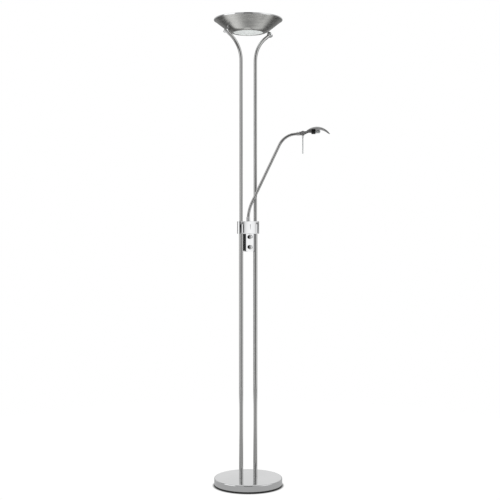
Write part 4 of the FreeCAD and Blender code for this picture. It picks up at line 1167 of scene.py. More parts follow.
@dataclass(frozen=True)
class Glass:
    """Clear or frosted glass or acrylic.

    Fields: its colour, its roughness, how much light it lets through, its index, and the size and
    depth of its frosting.
    """

    name: str
    tint: Colour
    rough: float = 0.02
    clear: float = 1.0
    index: float = 1.46
    frost: float = 0.0004
    depth: float = 0.0

    def make(self) -> Material:
        """Builds the material.

        Returns:
            The material.
        """
        surface = Surface(self.name)
        worn = surface.use(EFFECTS.handling, Scale=35.0)
        skin = surface.use(EFFECTS.skin, Grain=self.frost)
        rough = surface.smudged(worn, self.rough, self.rough + 0.06)
        colour = surface.toned(skin.outputs["Tone"], self.tint, 0.97, 1.0)
        surface.set(Base_Color=colour, Metallic=0.0, Roughness=rough)
        surface.shader.inputs["Transmission Weight"].default_value = self.clear
        surface.shader.inputs["IOR"].default_value = self.index
        surface.raise_by((skin.outputs["Height"], self.depth), (worn.outputs["Scratch"], 0.5e-6))
        return surface.material


@dataclass(frozen=True)
class Laminate:
    """Circuit board laminate with its copper tracks under green lacquer."""

    name: str
    lacquer: Colour = (0.03, 0.17, 0.08)
    track: Colour = (0.07, 0.30, 0.14)

    def make(self) -> Material:
        """Builds the material.

        Returns:
            The material.
        """
        surface = Surface(self.name)
        net = surface.net
        bricks = net.add(
            "TexBrick",
            Vector=surface.coords,
            Scale=260.0,
            Mortar_Size=0.09,
            Color1=(0, 0, 0, 1),
            Color2=(0.35, 0.35, 0.35, 1),
            Mortar=(1, 1, 1, 1),
        )
        lines = net.add("SeparateColor", Color=bricks.outputs["Color"]).outputs[0]
        colour = surface.blend(lines, (*self.lacquer, 1.0), (*self.track, 1.0))
        surface.set(Base_Color=colour, Metallic=0.0, Roughness=net.stretch(lines, 0, 1, 0.34, 0.26))
        surface.raise_by((lines, 30e-6))
        return surface.material


PALETTE: dict[str, Metal | Moulded | Glass | Laminate] = {
    "polished_chrome": Metal("bright_chrome", (0.70, 0.705, 0.71), 0.035, 0.09),
    "satin_nickel": Metal(
        "satin_nickel", (0.47, 0.47, 0.455), 0.24, 0.32, Grain.TURNED, 0.0005, 3e-6, 0.14
    ),
    "dark_nickel": Metal(
        "dark_nickel", (0.19, 0.19, 0.19), 0.3, 0.36, Grain.DRAWN, 0.0003, 2e-6, 0.12
    ),
    "black_plastic": Moulded("black_moulding", (0.005, 0.005, 0.005), 0.6, 0.0005, 8e-6),
    "foam_pad": Moulded("closed_foam", (0.028, 0.028, 0.029), 0.85, 0.0016, 120e-6, 0.25),
    "cast_weight": Moulded(
        "cast_iron", (0.11, 0.105, 0.10), 0.68, 0.0022, 160e-6, 0.3, metal=0.4
    ),
    "black_rubber": Moulded("black_rubber", (0.016, 0.016, 0.017), 0.62, 0.0004, 5e-6),
    "zinc_steel": Metal("zinc_plate", (0.62, 0.62, 0.60), 0.26, 0.38, tone=0.1, scratch=0.8e-6),
    "brass": Metal("turned_brass", (0.78, 0.58, 0.27), 0.2, 0.32, Grain.TURNED, 0.0003, 2e-6, 0.08),
    "frosted_glass": Glass("frosted_glass", (0.95, 0.985, 0.97), 0.5, 0.16, 1.5, 0.0003, 6e-6),
    "quartz_glass": Glass("clear_quartz", (0.98, 0.99, 1.0), 0.01, 1.0, 1.46),
    "white_ceramic": Moulded("steatite", (0.82, 0.80, 0.75), 0.55, 0.0009, 14e-6, 0.05),
    "bright_aluminium": Metal(
        "rolled_aluminium", (0.84, 0.85, 0.86), 0.16, 0.26, Grain.DRAWN, 0.0006, 2e-6, 0.06
    ),
    "circuit_board": Laminate("board_laminate"),
    "dark_phenolic": Moulded("phenolic", (0.05, 0.035, 0.028), 0.35, 0.0008, 6e-6, 0.2, 0.3),
    "white_nylon": Moulded("natural_nylon", (0.80, 0.79, 0.74), 0.4, 0.0007, 5e-6, 0.04),
    "clear_acrylic": Glass("clear_acrylic", (0.90, 0.93, 0.93), 0.12, 0.85, 1.49),
    "lead_sheath": Moulded("lead_sheath", (0.03, 0.03, 0.031), 0.45, 0.0007, 4e-6, 0.1, 0.1),
}

EXTRAS: dict[str, Metal | Moulded | Glass] = {
    "hood_lining": Metal("hood_lining", (0.38, 0.38, 0.38), 0.4, 0.5, tone=0.08),
    "capsule_glass": Glass("capsule_glass", (0.5, 0.52, 0.52), 0.3, 0.5, 1.5, 0.0003, 4e-6),
    "satin_tube": Metal(
        "satin_tube", (0.5, 0.5, 0.495), 0.1, 0.16, Grain.DRAWN, 0.0004, 1e-6, 0.06
    ),
    "satin_casting": Metal("satin_casting", (0.6, 0.6, 0.595), 0.36, 0.42, tone=0.06),
    "tungsten": Metal("tungsten_wire", (0.36, 0.35, 0.34), 0.3, 0.4, scratch=0.0),
    "knob_grip": Moulded("knob_grip", (0.01, 0.01, 0.01), 0.35, 0.0004, 3e-6),
    "index_paint": Moulded("index_paint", (0.02, 0.02, 0.022), 0.4, 0.0004, 4e-6),
    "resistor_body": Moulded("resistor_body", (0.55, 0.42, 0.24), 0.4, 0.0005, 4e-6, 0.1, 0.3),
    "solder": Metal("solder", (0.72, 0.72, 0.70), 0.18, 0.3),
}


class Workshop:
    """Makes the materials, fits pieces to the frame and keeps count of them."""

    def __init__(self) -> None:
        """Builds every material and the geometry node trees."""
        self.slots = {slot: finish.make() for slot, finish in PALETTE.items()}
        self.extras = {name: finish.make() for name, finish in EXTRAS.items()}
        self.growers = Growers()
        self.count = 0
        for part in frame["record"]["subparts"]:
            node = frame["nodes"][part["node"]]
            for slot in node.material_slots:
                slot.material = self.slots[part["material_slot"]]

    def fit(
        self,
        piece: Object,
        body: str,
        slot: str,
        *nodes: str,
        extra: str | None = None,
        inside: str | None = None,
    ) -> Object:
        """Dresses a piece, makes it ride on its body and hides the nodes it stands for.

        Args:
            piece: The finished piece.
            body: CAD body that it rides on.
            slot: Material slot of the record that it takes its finish from.
            nodes: CAD nodes that it replaces.
            extra: A further finish worn instead of the slot's own.
            inside: A further finish for its second material.

        Returns:
            The piece.
        """
        material = self.extras[extra] if extra else self.slots[slot]
        piece.data.materials.clear()
        piece.data.materials.append(material)
        if inside:
            piece.data.materials.append(self.extras[inside])
        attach(piece, body)
        if nodes:
            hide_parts(*nodes)
        self.count += 1
        LOG.info("%s on %s, %d faces", piece.name, body, len(piece.data.polygons))
        return piece

    def ease(
        self,
        node: str,
        body: str,
        slot: str,
        edge: float,
        segments: int = 2,
        *,
        name: str | None = None,
        extra: str | None = None,
    ) -> None:
        """Fits a copy of a CAD node with softened edges.

        Args:
            node: The CAD node.
            body: CAD body that it rides on.
            slot: Its material slot.
            edge: Width of the softened edges.
            segments: Facets across a softened edge.
            name: Name of the copy, if not the node's with _eased.
            extra: A further finish worn instead of the slot's own.
        """
        piece = refined(node, name or node + "_eased", edge, segments)
        self.fit(piece, body, slot, node, extra=extra)


CHROME = "polished_chrome"
ZINC = "zinc_steel"
STAND = "stand"
ARM = "arm"
HEAD = "reader_head"


def middle(node: str) -> Vector:
    """The centre of a CAD node's box."""
    low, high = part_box(node)
    return (low + high) / 2


# ---- base


@dataclass
class Base:
    """The weighted base: pressed cover, foot ring, pad and the grommet at the back."""

    shop: Workshop
    wall: float = 1.2 * MM
    shoulder: float = 5.5 * MM
    lip_wall: float = 3.6 * MM
    gland_bore: float = 3.5 * MM
    gland_neck: float = 5.6 * MM
    gland_flange: float = 8.0 * MM
    gland_rib: float = 0.35 * MM

    def build(self) -> None:
        """Makes and fits the pieces of the base."""
        low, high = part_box("base_cover")
        edge, foot = high.x, low.z
        self._cover(edge, high.z, foot)
        self._foot(edge, foot)
        self._gland(edge)

    def _cover(self, edge: float, top: float, foot: float) -> None:
        """Spins the cover and opens the hole for the grommet.

        Args:
            edge: Radius of the cover.
            top: Height of its top.
            foot: Height of its lower edge.
        """
        inner = edge - self.wall
        curl = 0.35 * MM
        outline = [
            (inner, foot, curl),
            (edge, foot, curl),
            (edge, top, self.shoulder),
            (0.0, top),
            (0.0, top - self.wall),
            (inner, top - self.wall, self.shoulder - self.wall),
        ]
        cover = turned("base_cover_spun", [outline], sides=256, steps=14)
        place = place_on((0.0, edge - 10 * MM, middle("cord_gland").z), (0, 1, 0))
        hole = turned("hole", [bar(self.gland_neck, 0.0, 20 * MM)], [place])
        self.shop.fit(cut(cover, hole), STAND, CHROME, "base_cover")

    def _foot(self, edge: float, foot: float) -> None:
        """Spins the foot ring, with blocks round its lip inside the cover.

        Args:
            edge: Radius of the base.
            foot: Height of the cover's lower edge.
        """
        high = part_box("foot_ring")[1]
        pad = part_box("base_pad")[1]
        inner = pad.x + 0.3 * MM
        lip = edge - self.wall - 0.05 * MM
        outline = [
            (inner, 0.0, 0.3 * MM),
            (edge, 0.0, 0.9 * MM),
            (edge, foot, 0.3 * MM),
            (lip, foot),
            (lip, high.z, 0.3 * MM),
            (lip - self.lip_wall, high.z, 0.3 * MM),
            (lip - self.lip_wall, pad.z),
            (inner, pad.z, 0.2 * MM),
        ]
        ring = turned("foot_ring_moulded", [outline], sides=256)
        seed = seed_of(boxes("block", [((0, 0, 0), (1.2 * MM, 5.0 * MM, 2.4 * MM))]))
        blocks = self.shop.growers.ring.grow(
            "foot_ring_blocks",
            seed=seed,
            place=Matrix.Translation((0, 0, high.z - 2.0 * MM)),
            Count=24,
            Radius=lip - self.lip_wall - 0.4 * MM,
        )
        piece = joined("foot_ring_moulded", ring, blocks)
        self.shop.fit(piece, STAND, "black_plastic", "foot_ring")

    def _gland(self, edge: float) -> None:
        """Spins the rubber grommet, with ribs on its outer flange.

        Args:
            edge: Radius of the base.
        """
        low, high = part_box("cord_gland")
        neck_back = edge - self.wall - 0.3 * MM
        depth = high.y - edge
        outline: list[Corner] = [
            (self.gland_bore, low.y, 0.4 * MM),
            (self.gland_flange - 0.6 * MM, low.y, 0.6 * MM),
            (self.gland_flange - 0.6 * MM, neck_back),
            (self.gland_neck, neck_back),
            (self.gland_neck, edge),
            (self.gland_flange, edge, 0.3 * MM),
            (self.gland_flange, edge + depth / 2, 0.6 * MM),
        ]
        steps = 3
        for i in range(steps):
            share = (i + 0.5) / steps
            radius = self.gland_flange + (self.gland_bore + 1.2 * MM - self.gland_flange) * share
            height = edge + depth * (0.5 + 0.5 * share)
            outline.append((radius + self.gland_rib, height, 0.1 * MM))
            outline.append((radius - self.gland_rib, height + self.gland_rib / 2, 0.1 * MM))
        outline.append((self.gland_bore, high.y, 0.4 * MM))
        place = place_on((0.0, 0.0, middle("cord_gland").z), (0, 1, 0))
        gland = turned("cord_grommet", [outline], [place], sides=64)
        self.shop.fit(gland, STAND, "black_rubber", "cord_gland")


# ---- poles


@dataclass
class Poles:
    """The two poles: straight lower tubes, flared upper tubes and their turned ends."""

    shop: Workshop
    wall: float = 1.4 * MM
    bend_radius: float = 117.0 * MM
    bend_turn: float = 51.5
    bend_low: float = 1640.0 * MM
    tip: float = 27.0 * MM
    hub: float = 8.4 * MM
    hub_length: float = 5.5 * MM
    flange: float = 12.0 * MM
    flange_length: float = 6.6 * MM

    def build(self) -> None:
        """Makes and fits the tubes and their ends."""
        for side, sign in (("left", -1), ("right", 1)):
            self._lower("lower_pole_" + side)
            self._upper("upper_pole_" + side, sign)
            self._end("tip_ferrule_" + side, sign)

    def _lower(self, node: str) -> None:
        """Spins a lower tube with a small rounding at both ends.

        Args:
            node: The CAD node.
        """
        low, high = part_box(node)
        radius = (high.x - low.x) / 2
        inner = radius - self.wall
        lip = 0.4 * MM
        outline = [
            (inner, low.z),
            (radius, low.z, lip),
            (radius, high.z, lip),
            (inner, high.z, lip),
        ]
        place = Matrix.Translation((middle(node).x, 0, 0))
        tube = turned(node + "_drawn", [outline], [place], sides=64)
        self.shop.fit(tube, STAND, CHROME, node, extra="satin_tube")

    def _upper(self, node: str, sign: int) -> None:
        """Bends an upper tube outwards under the bowl.

        Args:
            node: The CAD node.
            sign: -1 for the left pole, 1 for the right one.
        """
        low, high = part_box(node)
        radius = high.y
        inner = low.x + radius if sign > 0 else -(high.x - radius)
        path = FlatPath(inner, low.z).run(self.bend_low - low.z)
        path.bend(self.bend_radius, self.bend_turn).run(self.tip)
        points = path.stand(0.0 if sign > 0 else 180.0)
        tube = self.shop.growers.rod(node + "_bent", points, radius, 64)
        self.shop.fit(tube, STAND, CHROME, node, extra="satin_tube")

    def _end(self, node: str, sign: int) -> None:
        """Turns the ferrule on a pole's tip: a hub, a groove and a wide flange.

        Args:
            node: The CAD node.
            sign: -1 for the left pole, 1 for the right one.
        """
        lean = math.radians(self.bend_turn)
        axis = Vector((sign * math.sin(lean), 0, math.cos(lean)))
        half = self.flange_length / 2
        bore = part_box("upper_pole_right")[1].y
        groove = 0.35 * MM
        body = [
            (bore, -half - self.hub_length),
            (self.hub, -half - self.hub_length, 0.6 * MM),
            (self.hub, -half - 2.2 * MM, 0.1 * MM),
            (self.hub - groove, -half - 1.9 * MM, 0.1 * MM),
            (self.hub - groove, -half - 1.2 * MM, 0.1 * MM),
            (self.hub, -half - 0.9 * MM, 0.1 * MM),
            (self.hub, -half, 0.3 * MM),
            (self.flange, -half, 1.0 * MM),
            (self.flange, half, 1.0 * MM),
            (0.0, half + 0.5 * MM),
            (0.0, -half + 0.1 * MM),
            (bore, -half + 0.1 * MM),
        ]
        place = place_on(middle(node), axis)
        ferrule = turned(node + "_turned", [body], [place], sides=96, steps=6)
        self.shop.fit(ferrule, STAND, CHROME, node)


# ---- bowl


@dataclass
class Bowl:
    """The uplighter: spun shell, rim band, frosted dish, fixings, bracket and lamp."""

    shop: Workshop
    wall: float = 1.2 * MM
    band_wall: float = 2.4 * MM
    shoulder: float = 80.0 * MM
    opening: float = 57.0 * MM
    lip: float = 5.5 * MM
    drop: float = 7.5 * MM
    turn: float = 60.0 * MM
    lean: float = 51.5
    glass_wall: float = 3.0 * MM
    glass_sag: float = 8.5 * MM
    glass_seat: float = 4.5 * MM
    stud: float = 2.5 * MM
    stud_start: float = 2.0 * MM
    stud_past_wall: float = 7.9 * MM
    thread: float = 0.22 * MM
    flange: float = 12.0 * MM
    wall_place: float = 15.94 * MM
    lamp_neck: float = 3.6 * MM
    lamp_pinch: float = 9.0 * MM

    def __post_init__(self) -> None:
        """Works out the heights that the pieces share."""
        low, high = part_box("bowl_rim_band")
        self.band_low, self.top, self.edge = low.z, high.z, high.x
        self.slope = math.tan(math.radians(90 - self.lean))
        self.wall_top = self.edge - self.band_wall - 0.05 * MM
        self.shoulder_z = self.band_low - (self.wall_top - self.shoulder) * self.slope
        self.floor_z = self.shoulder_z - self.drop

    def build(self) -> None:
        """Makes and fits the pieces of the bowl."""
        self._shell()
        self._band()
        self._dish()
        self._fixings()
        self._bracket()
        self._lamp()

    def _shell(self) -> None:
        """Spins the shell: lip, rounded turn, straight wall and the upright inside the band."""
        up = self.wall / math.sin(math.radians(self.lean))
        inner = self.wall_top - self.wall
        knee = (self.shoulder, self.shoulder_z)
        toe = (self.opening + self.lip, self.floor_z)
        outline: list[Corner] = [(self.opening, self.floor_z, 0.5 * MM)]
        outline += arc(toe, knee, self.turn)
        outline += [
            knee,
            (self.wall_top, self.band_low),
            (self.wall_top, self.top - 1.0 * MM),
            (inner, self.top - 1.0 * MM),
            (inner, self.band_low + up - self.wall * self.slope),
        ]
        knee_in = (self.shoulder, self.shoulder_z + up)
        toe_in = (self.opening + self.lip, self.floor_z + self.wall)
        outline += arc(knee_in, toe_in, -self.turn)
        outline += [toe_in, (self.opening, self.floor_z + self.wall, 0.5 * MM)]
        shell = turned("bowl_shell_spun", [outline], sides=288)
        self.shop.fit(shell, STAND, "satin_nickel", "bowl_shell")

    def _band(self) -> None:
        """Turns the polished band round the rim."""
        inner = self.edge - self.band_wall
        outline = [
            (inner, self.band_low, 0.2 * MM),
            (self.edge, self.band_low, 1.3 * MM),
            (self.edge, self.top, 1.3 * MM),
            (inner - self.wall, self.top, 0.2 * MM),
            (inner - self.wall, self.top - 0.9 * MM),
            (inner, self.top - 0.9 * MM),
        ]
        band = turned("bowl_band_polished", [outline], sides=288, steps=8)
        self.shop.fit(band, STAND, CHROME, "bowl_rim_band")

    def _dish(self) -> None:
        """Blows the frosted dish that closes the opening."""
        seat = self.floor_z + self.wall + 0.3 * MM
        neck = self.opening - 1.0 * MM
        sphere = (neck**2 + self.glass_sag**2) / 2 / self.glass_sag
        inner = sphere - self.glass_wall
        outline: list[Corner] = arc((0.0, seat - self.glass_sag), (neck, seat), sphere, 16)
        outline += [
            (neck, seat),
            (neck + self.glass_seat, seat, 0.6 * MM),
            (neck + self.glass_seat, seat + self.glass_wall, 0.6 * MM),
        ]
        reach = neck - 1.0 * MM
        depth = inner - math.sqrt(inner**2 - reach**2)
        rim_z = seat - self.glass_sag + self.glass_wall + depth
        outline.append((reach, seat + self.glass_wall))
        outline += arc((reach, rim_z), (0.0, rim_z - depth), -inner, 16)
        outline.append((0.0, rim_z - depth))
        dish = turned("frosted_dish", [outline], sides=192)
        self.shop.fit(dish, STAND, "frosted_glass", "bowl_glass")

    def _fixings(self) -> None:
        """Turns the spacers, the threaded studs, their nuts and the rivets."""
        lean = math.radians(self.lean)
        cores: list[Object] = []
        spacers: list[Matrix] = []
        root = self.stud - self.thread
        length = self.wall_place + self.stud_past_wall
        shank = [
            (0.0, self.stud_start),
            (root, self.stud_start),
            (root, length, 0.4 * MM),
            (0.0, length),
        ]
        for side, sign in (("left", -1), ("right", 1)):
            axis = Vector((-sign * math.cos(lean), 0, math.sin(lean)))
            place = place_on(middle("tip_ferrule_" + side), axis)
            spacers.append(place)
            core = turned("stud", [shank], [place], sides=32)
            thread = self.shop.growers.coil.grow(
                "thread",
                place=place @ Matrix.Translation((0, 0, self.wall_place)),
                Turns=11.0,
                Radius=root,
                Length=self.stud_past_wall - 0.5 * MM,
                Wire=self.thread,
                Steps=28,
                Sides=6,
            )
            cores += [core, thread]
        self.shop.fit(joined("bowl_studs_threaded", *cores), STAND, ZINC, "bowl_studs")
        outer = self.stud + 2.2 * MM
        waist = 0.4 * MM
        start, stop = self.flange + 0.05 * MM, self.wall_place - 0.05 * MM
        spacer = [
            (self.stud, start),
            (outer, start, 0.3 * MM),
            (outer, start + 1.2 * MM, 0.2 * MM),
            (outer - waist, start + 1.5 * MM, 0.2 * MM),
            (outer - waist, stop - 1.5 * MM, 0.2 * MM),
            (outer, stop - 1.2 * MM, 0.2 * MM),
            (outer, stop, 0.3 * MM),
            (self.stud, stop),
        ]
        made = turned("bowl_spacers_turned", [spacer], spacers, sides=48)
        self.shop.fit(made, STAND, CHROME, "bowl_spacers")
        self.shop.ease("bowl_nuts", STAND, ZINC, 0.35 * MM)
        low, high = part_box("socket_rivets")
        rivet = 3.2 * MM
        head = [
            (0.0, low.z),
            (rivet, low.z + 0.9 * MM, 0.4 * MM),
            (rivet, high.z),
            (0.0, high.z),
        ]
        domes = [Matrix.Translation((x, 0, 0)) for x in (low.x + rivet, high.x - rivet)]
        rivets = turned("socket_rivets_domed", [head], domes, sides=48)
        self.shop.fit(rivets, STAND, ZINC, "socket_rivets")

    def _bracket(self) -> None:
        """Eases the bracket, presses ribs into the reflector and eases the holders."""
        self.shop.ease("lamp_bracket", STAND, ZINC, 0.3 * MM, name="lamp_bracket_pressed")
        trough = refined("uplight_reflector", "trough", 0.2 * MM)
        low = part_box("uplight_reflector")[0]
        rib = bar(0.5 * MM, -9.0 * MM, 9.0 * MM)
        seed = seed_of(turned("rib", [rib], [place_on((0, 0, 0), (0, 1, 0))], sides=12))
        ribs = self.shop.growers.line.grow(
            "ribs",
            seed=seed,
            place=Matrix.Translation((0, 0, low.z + 0.9 * MM)),
            Count=13,
            Pitch=6.5 * MM,
        )
        piece = joined("uplight_reflector_ribbed", trough, ribs)
        self.shop.fit(piece, STAND, "bright_aluminium", "uplight_reflector")
        for side in ("left", "right"):
            self.shop.ease("uplight_socket_" + side, STAND, "white_ceramic", 0.5 * MM, 3)

    def _lamp(self) -> None:
        """Makes the quartz tube, its ceramic ends, and the filament with its supports."""
        centre = middle("uplight_lamp")
        low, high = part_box("uplight_lamp")
        half = (high.x - low.x) / 2
        radius = high.y
        place = place_on(centre, (1, 0, 0))
        neck = self.lamp_neck
        seal = half - self.lamp_pinch
        wide = seal - 4 * MM
        tube = [
            (0.0, -seal),
            (neck, -seal, 0.3 * MM),
            (radius, -wide, 1.5 * MM),
            (radius, wide, 1.5 * MM),
            (neck, seal, 0.3 * MM),
            (0.0, seal),
        ]
        quartz = turned("uplight_quartz_tube", [tube], [place], sides=64)
        self.shop.fit(quartz, STAND, "quartz_glass", "uplight_lamp")
        ends = [
            [
                (0.0, sign * half),
                (2.4 * MM, sign * half, 0.4 * MM),
                (neck, sign * (half - 1.2 * MM), 0.4 * MM),
                (neck, sign * seal, 0.2 * MM),
                (0.0, sign * seal),
            ]
            for sign in (-1, 1)
        ]
        caps = turned("uplight_lamp_ends", ends, [place], sides=48)
        self.shop.fit(caps, STAND, "white_ceramic")
        span = 2 * (seal - self.lamp_pinch)
        filament = self.shop.growers.coil.grow(
            "uplight_filament_wire",
            place=place @ Matrix.Translation((0, 0, -span / 2)),
            Turns=90.0,
            Radius=0.75 * MM,
            Length=span,
            Wire=0.11 * MM,
            Steps=10,
            Sides=5,
        )
        hoops = [
            [
                (1.0 * MM, z - 0.15 * MM),
                (radius - 1.2 * MM, z - 0.15 * MM),
                (radius - 1.2 * MM, z + 0.15 * MM),
                (1.0 * MM, z + 0.15 * MM),
            ]
            for z in (-span / 3, 0.0, span / 3)
        ]
        supports = turned("hoops", hoops, [place], sides=32)
        piece = joined("uplight_filament", filament, supports)
        self.shop.fit(piece, STAND, "bright_aluminium", extra="tungsten")


# ---- collar and dimmer box


@dataclass
class Collar:
    """The two-part collar that holds the poles together, with its screws."""

    shop: Workshop
    ease: float = 0.7 * MM
    bulge: float = 170.0 * MM
    grub: float = 2.0 * MM
    socket: float = 0.95 * MM
    socket_depth: float = 2.2 * MM
    screw_gap: float = 2.6 * MM

    def build(self) -> None:
        """Makes and fits the collar and its grub screws."""
        for node in ("collar_body", "collar_cap"):
            half = crowned(refined(node, node + "_crowned", 0.0, 1), self._oval(node), self.ease)
            self.shop.fit(half, STAND, CHROME, node)
        self._grubs()

    def _oval(self, node: str) -> Object:
        """A tall oval block: the collar's own outline with gently bulged faces.

        Args:
            node: The CAD node of the collar's half.

        Returns:
            The block.
        """
        low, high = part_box(node)
        length, half = high.x, high.y
        bulge = self.bulge
        tip = (2 * half * bulge - length**2 - half**2) / (2 * bulge - 2 * length)
        join = (length - tip) * bulge / (bulge - tip)
        side = half - bulge + math.sqrt(bulge**2 - join**2)
        right = [(join, -side), (length, 0.0), (join, side)]
        corners = [*right, *((-x, 0.0 - y) for x, y in right)]
        radii = (tip, tip, bulge) * 2
        outline: list[Point] = []
        for first, second, radius in zip(corners, corners[1:] + corners[:1], radii):
            outline += arc(first, second, radius, 24)
        return prism("oval", outline, low.z - MM, high.z + MM)

    def _grubs(self) -> None:
        """Turns the grub screws and sinks a hexagon socket in each."""
        low, high = (corner.copy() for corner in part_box("collar_grub_screws"))
        high.y -= self.screw_gap
        reach = high.x - self.grub
        outline = [
            (0.0, low.y),
            (self.grub - 0.5 * MM, low.y),
            (self.grub, low.y + 0.6 * MM),
            (self.grub, high.y, 0.25 * MM),
            (0.0, high.y),
        ]
        level = middle("collar_grub_screws").z
        places = [place_on((x, 0, level), (0, 1, 0)) for x in (-reach, reach)]
        screws = turned("screws", [outline], places, sides=48)
        hexagon = bar(self.socket, high.y - self.socket_depth, high.y + MM)
        sockets = turned("sockets", [hexagon], places, sides=6)
        made = cut(screws, sockets)
        made.name = "collar_grub_screws_socketed"
        self.shop.fit(made, STAND, ZINC, "collar_grub_screws")


@dataclass
class Dimmer:
    """The dimmer box under the collar: two shells, two knobs, screws and the board."""

    shop: Workshop
    ease: float = 0.4 * MM
    curve: float = 40.0 * MM
    crown: float = 0.8 * MM
    facet_start: float = 17.6 * MM
    facet_slope: float = 0.6
    facet_blend: float = 0.8 * MM
    shell_depth: float = 9.6 * MM
    slices: int = 40
    screw: float = 1.5 * MM
    screw_head: float = 2.8 * MM
    screw_head_height: float = 1.6 * MM
    recess: float = 0.8 * MM
    knob_recess: float = 2.2 * MM
    knob_wall: float = 1.8 * MM
    knob_crown: float = 3.2 * MM
    shaft: float = 3.05 * MM
    shaft_depth: float = 6.6 * MM
    flutes: int = 40

    def build(self) -> None:
        """Makes and fits the pieces of the dimmer box."""
        self._shells()
        self._screws()
        self.shop.ease("control_nuts", STAND, ZINC, 0.25 * MM)
        self._board()
        for name in ("uplight", "reader"):
            self._knob(name)

    def _shells(self) -> None:
        """Flattens the face of the front shell a little and eases both shells."""
        back = refined("dimmer_housing_back", "dimmer_housing_back_eased", self.ease, 3, 35.0)
        self.shop.fit(back, STAND, CHROME, "dimmer_housing_back")
        node = "dimmer_housing_front"
        low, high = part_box(node)
        half, face = high.x, low.y
        front = refined(node, node + "_crowned", 0.0)
        shape = bmesh.new()
        shape.from_mesh(front.data)
        for i in range(1, self.slices):
            x = half * math.sin(math.pi / 2 * (2 * i / self.slices - 1))
            whole = [*shape.verts, *shape.edges, *shape.faces]
            plane = {"plane_co": (x, 0, 0), "plane_no": (1, 0, 0)}
            bmesh.ops.bisect_plane(shape, geom=whole, dist=1e-6, **plane)
        for vert in shape.verts:
            if vert.co.y > face + self.shell_depth:
                continue
            share = min(1.0, abs(vert.co.x) / half)
            old = self.curve - math.sqrt(self.curve**2 - vert.co.x**2)
            past = abs(vert.co.x) - self.facet_start
            turn = (past + math.hypot(past, self.facet_blend)) / 2
            new = self.crown * share**2 + self.facet_slope * turn
            vert.co.y += new - old
        shape.to_mesh(front.data)
        shape.free()
        bevel(front, self.ease, 3, 50.0)
        smooth(flatten(front).data, 40.0)
        self.shop.fit(front, STAND, CHROME, node)

    def _screws(self) -> None:
        """Turns the housing screws and sinks a cross recess in each head."""
        low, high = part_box("housing_screws")
        reach = high.x - self.screw_head
        level = middle("housing_screws").z
        seat = high.y - self.screw_head_height
        outline = [
            (0.0, low.y),
            (self.screw, low.y, 0.3 * MM),
            (self.screw, seat),
            (self.screw_head, seat, 0.15 * MM),
            (self.screw_head, high.y - 0.35 * MM, 0.5 * MM),
            (0.0, high.y),
        ]
        places = [place_on((x, 0, level), (0, 1, 0)) for x in (-reach, reach)]
        screws = turned("screws", [outline], places, sides=48)
        long, slim = 3.2 * MM, 0.75 * MM
        crosses = [
            boxes("bar", [((x, high.y, level), (wide, 2 * self.recess, tall))])
            for x in (-reach, reach)
            for wide, tall in ((long, slim), (slim, long))
        ]
        made = cut(screws, *crosses)
        made.name = "housing_screws_recessed"
        self.shop.fit(made, STAND, ZINC, "housing_screws")

    def _board(self) -> None:
        """Adds a row of resistors and their solder joints to the board."""
        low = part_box("dimmer_board")[0]
        face = low.y + 1.6 * MM
        half: list[Corner] = [
            (0.65 * MM, 0.7 * MM),
            (0.8 * MM, 1.2 * MM, 0.3 * MM),
            (0.35 * MM, 1.6 * MM),
            (0.0, 1.6 * MM),
        ]
        body = [(x, -z, *ease) for x, z, *ease in reversed(half)] + half
        seed = seed_of(turned("resistor", [body], sides=16, steps=2))
        row = self.shop.growers.line.grow(
            "board_resistors",
            seed=seed,
            place=Matrix.Translation((0, face + 0.85 * MM, low.z + 4 * MM)),
            Count=5,
            Pitch=3.4 * MM,
        )
        self.shop.fit(row, STAND, "circuit_board", extra="resistor_body")
        bead = [(0.0, 0.0), (0.7 * MM, 0.0), (0.25 * MM, 0.5 * MM, 0.2 * MM), (0.0, 0.7 * MM)]
        drop = seed_of(turned("bead", [bead], [place_on((0, 0, 0), (0, -1, 0))], sides=12, steps=2))
        beads = self.shop.growers.line.grow(
            "board_solder",
            seed=drop,
            place=Matrix.Translation((0, low.y, low.z + 1.6 * MM)),
            Count=8,
            Pitch=2.2 * MM,
        )
        self.shop.fit(beads, STAND, "circuit_board", extra="solder")

    def _knob(self, name: str) -> None:
        """Turns a knob: a domed cap on a fluted grip, with an index line.

        Args:
            name: What the knob sets, as its node and its body are named.
        """
        node, dial = name + "_knob", name + "_dial"
        low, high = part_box(node)
        radius, length = high.x, high.y - low.y
        place = place_on((0.0, high.y, middle(node).z), (0, -1, 0))
        shoulder = length - self.knob_crown
        rim = radius - 0.35 * MM
        crown = (rim**2 + self.knob_crown**2) / 2 / self.knob_crown
        seam = shoulder - 0.4 * MM
        bore_end = min(seam, self.shaft_depth) - 0.3 * MM
        grip: list[Corner] = [
            (self.shaft, self.knob_recess),
            (radius - self.knob_wall, self.knob_recess),
            (radius - self.knob_wall, 0.0),
            (radius, 0.0, 0.35 * MM),
            (radius, seam, 0.1 * MM),
            (0.0, seam),
            (0.0, bore_end),
            (self.shaft, bore_end),
        ]
        body = turned("body", [grip], [place], sides=128)
        crown_line: list[Corner] = [
            (0.0, seam),
            (rim, seam, 0.1 * MM),
            *arc((rim, shoulder), (0.0, length), crown, 14),
            (0.0, length),
        ]
        cap = turned(node + "_cap", [crown_line], [place], sides=128)
        self.shop.fit(cap, dial, CHROME, node)
        flute = [
            (0.0, 1.0 * MM),
            (0.16 * MM, 1.2 * MM),
            (0.16 * MM, shoulder - 1.6 * MM),
            (0.0, shoulder - 1.4 * MM),
        ]
        seed = seed_of(turned("flute", [flute], sides=8, steps=1))
        flutes = self.shop.growers.ring.grow(
            "flutes", seed=seed, place=place, Count=self.flutes, Radius=radius - 0.02 * MM
        )
        self.shop.fit(joined(node + "_grip", body, flutes), dial, CHROME, node, extra="knob_grip")
        spot = (0, 0.62 * radius, length - 1.5 * MM)
        line = boxes("line", [(spot, (0.7 * MM, 0.45 * radius, 1.6 * MM))])
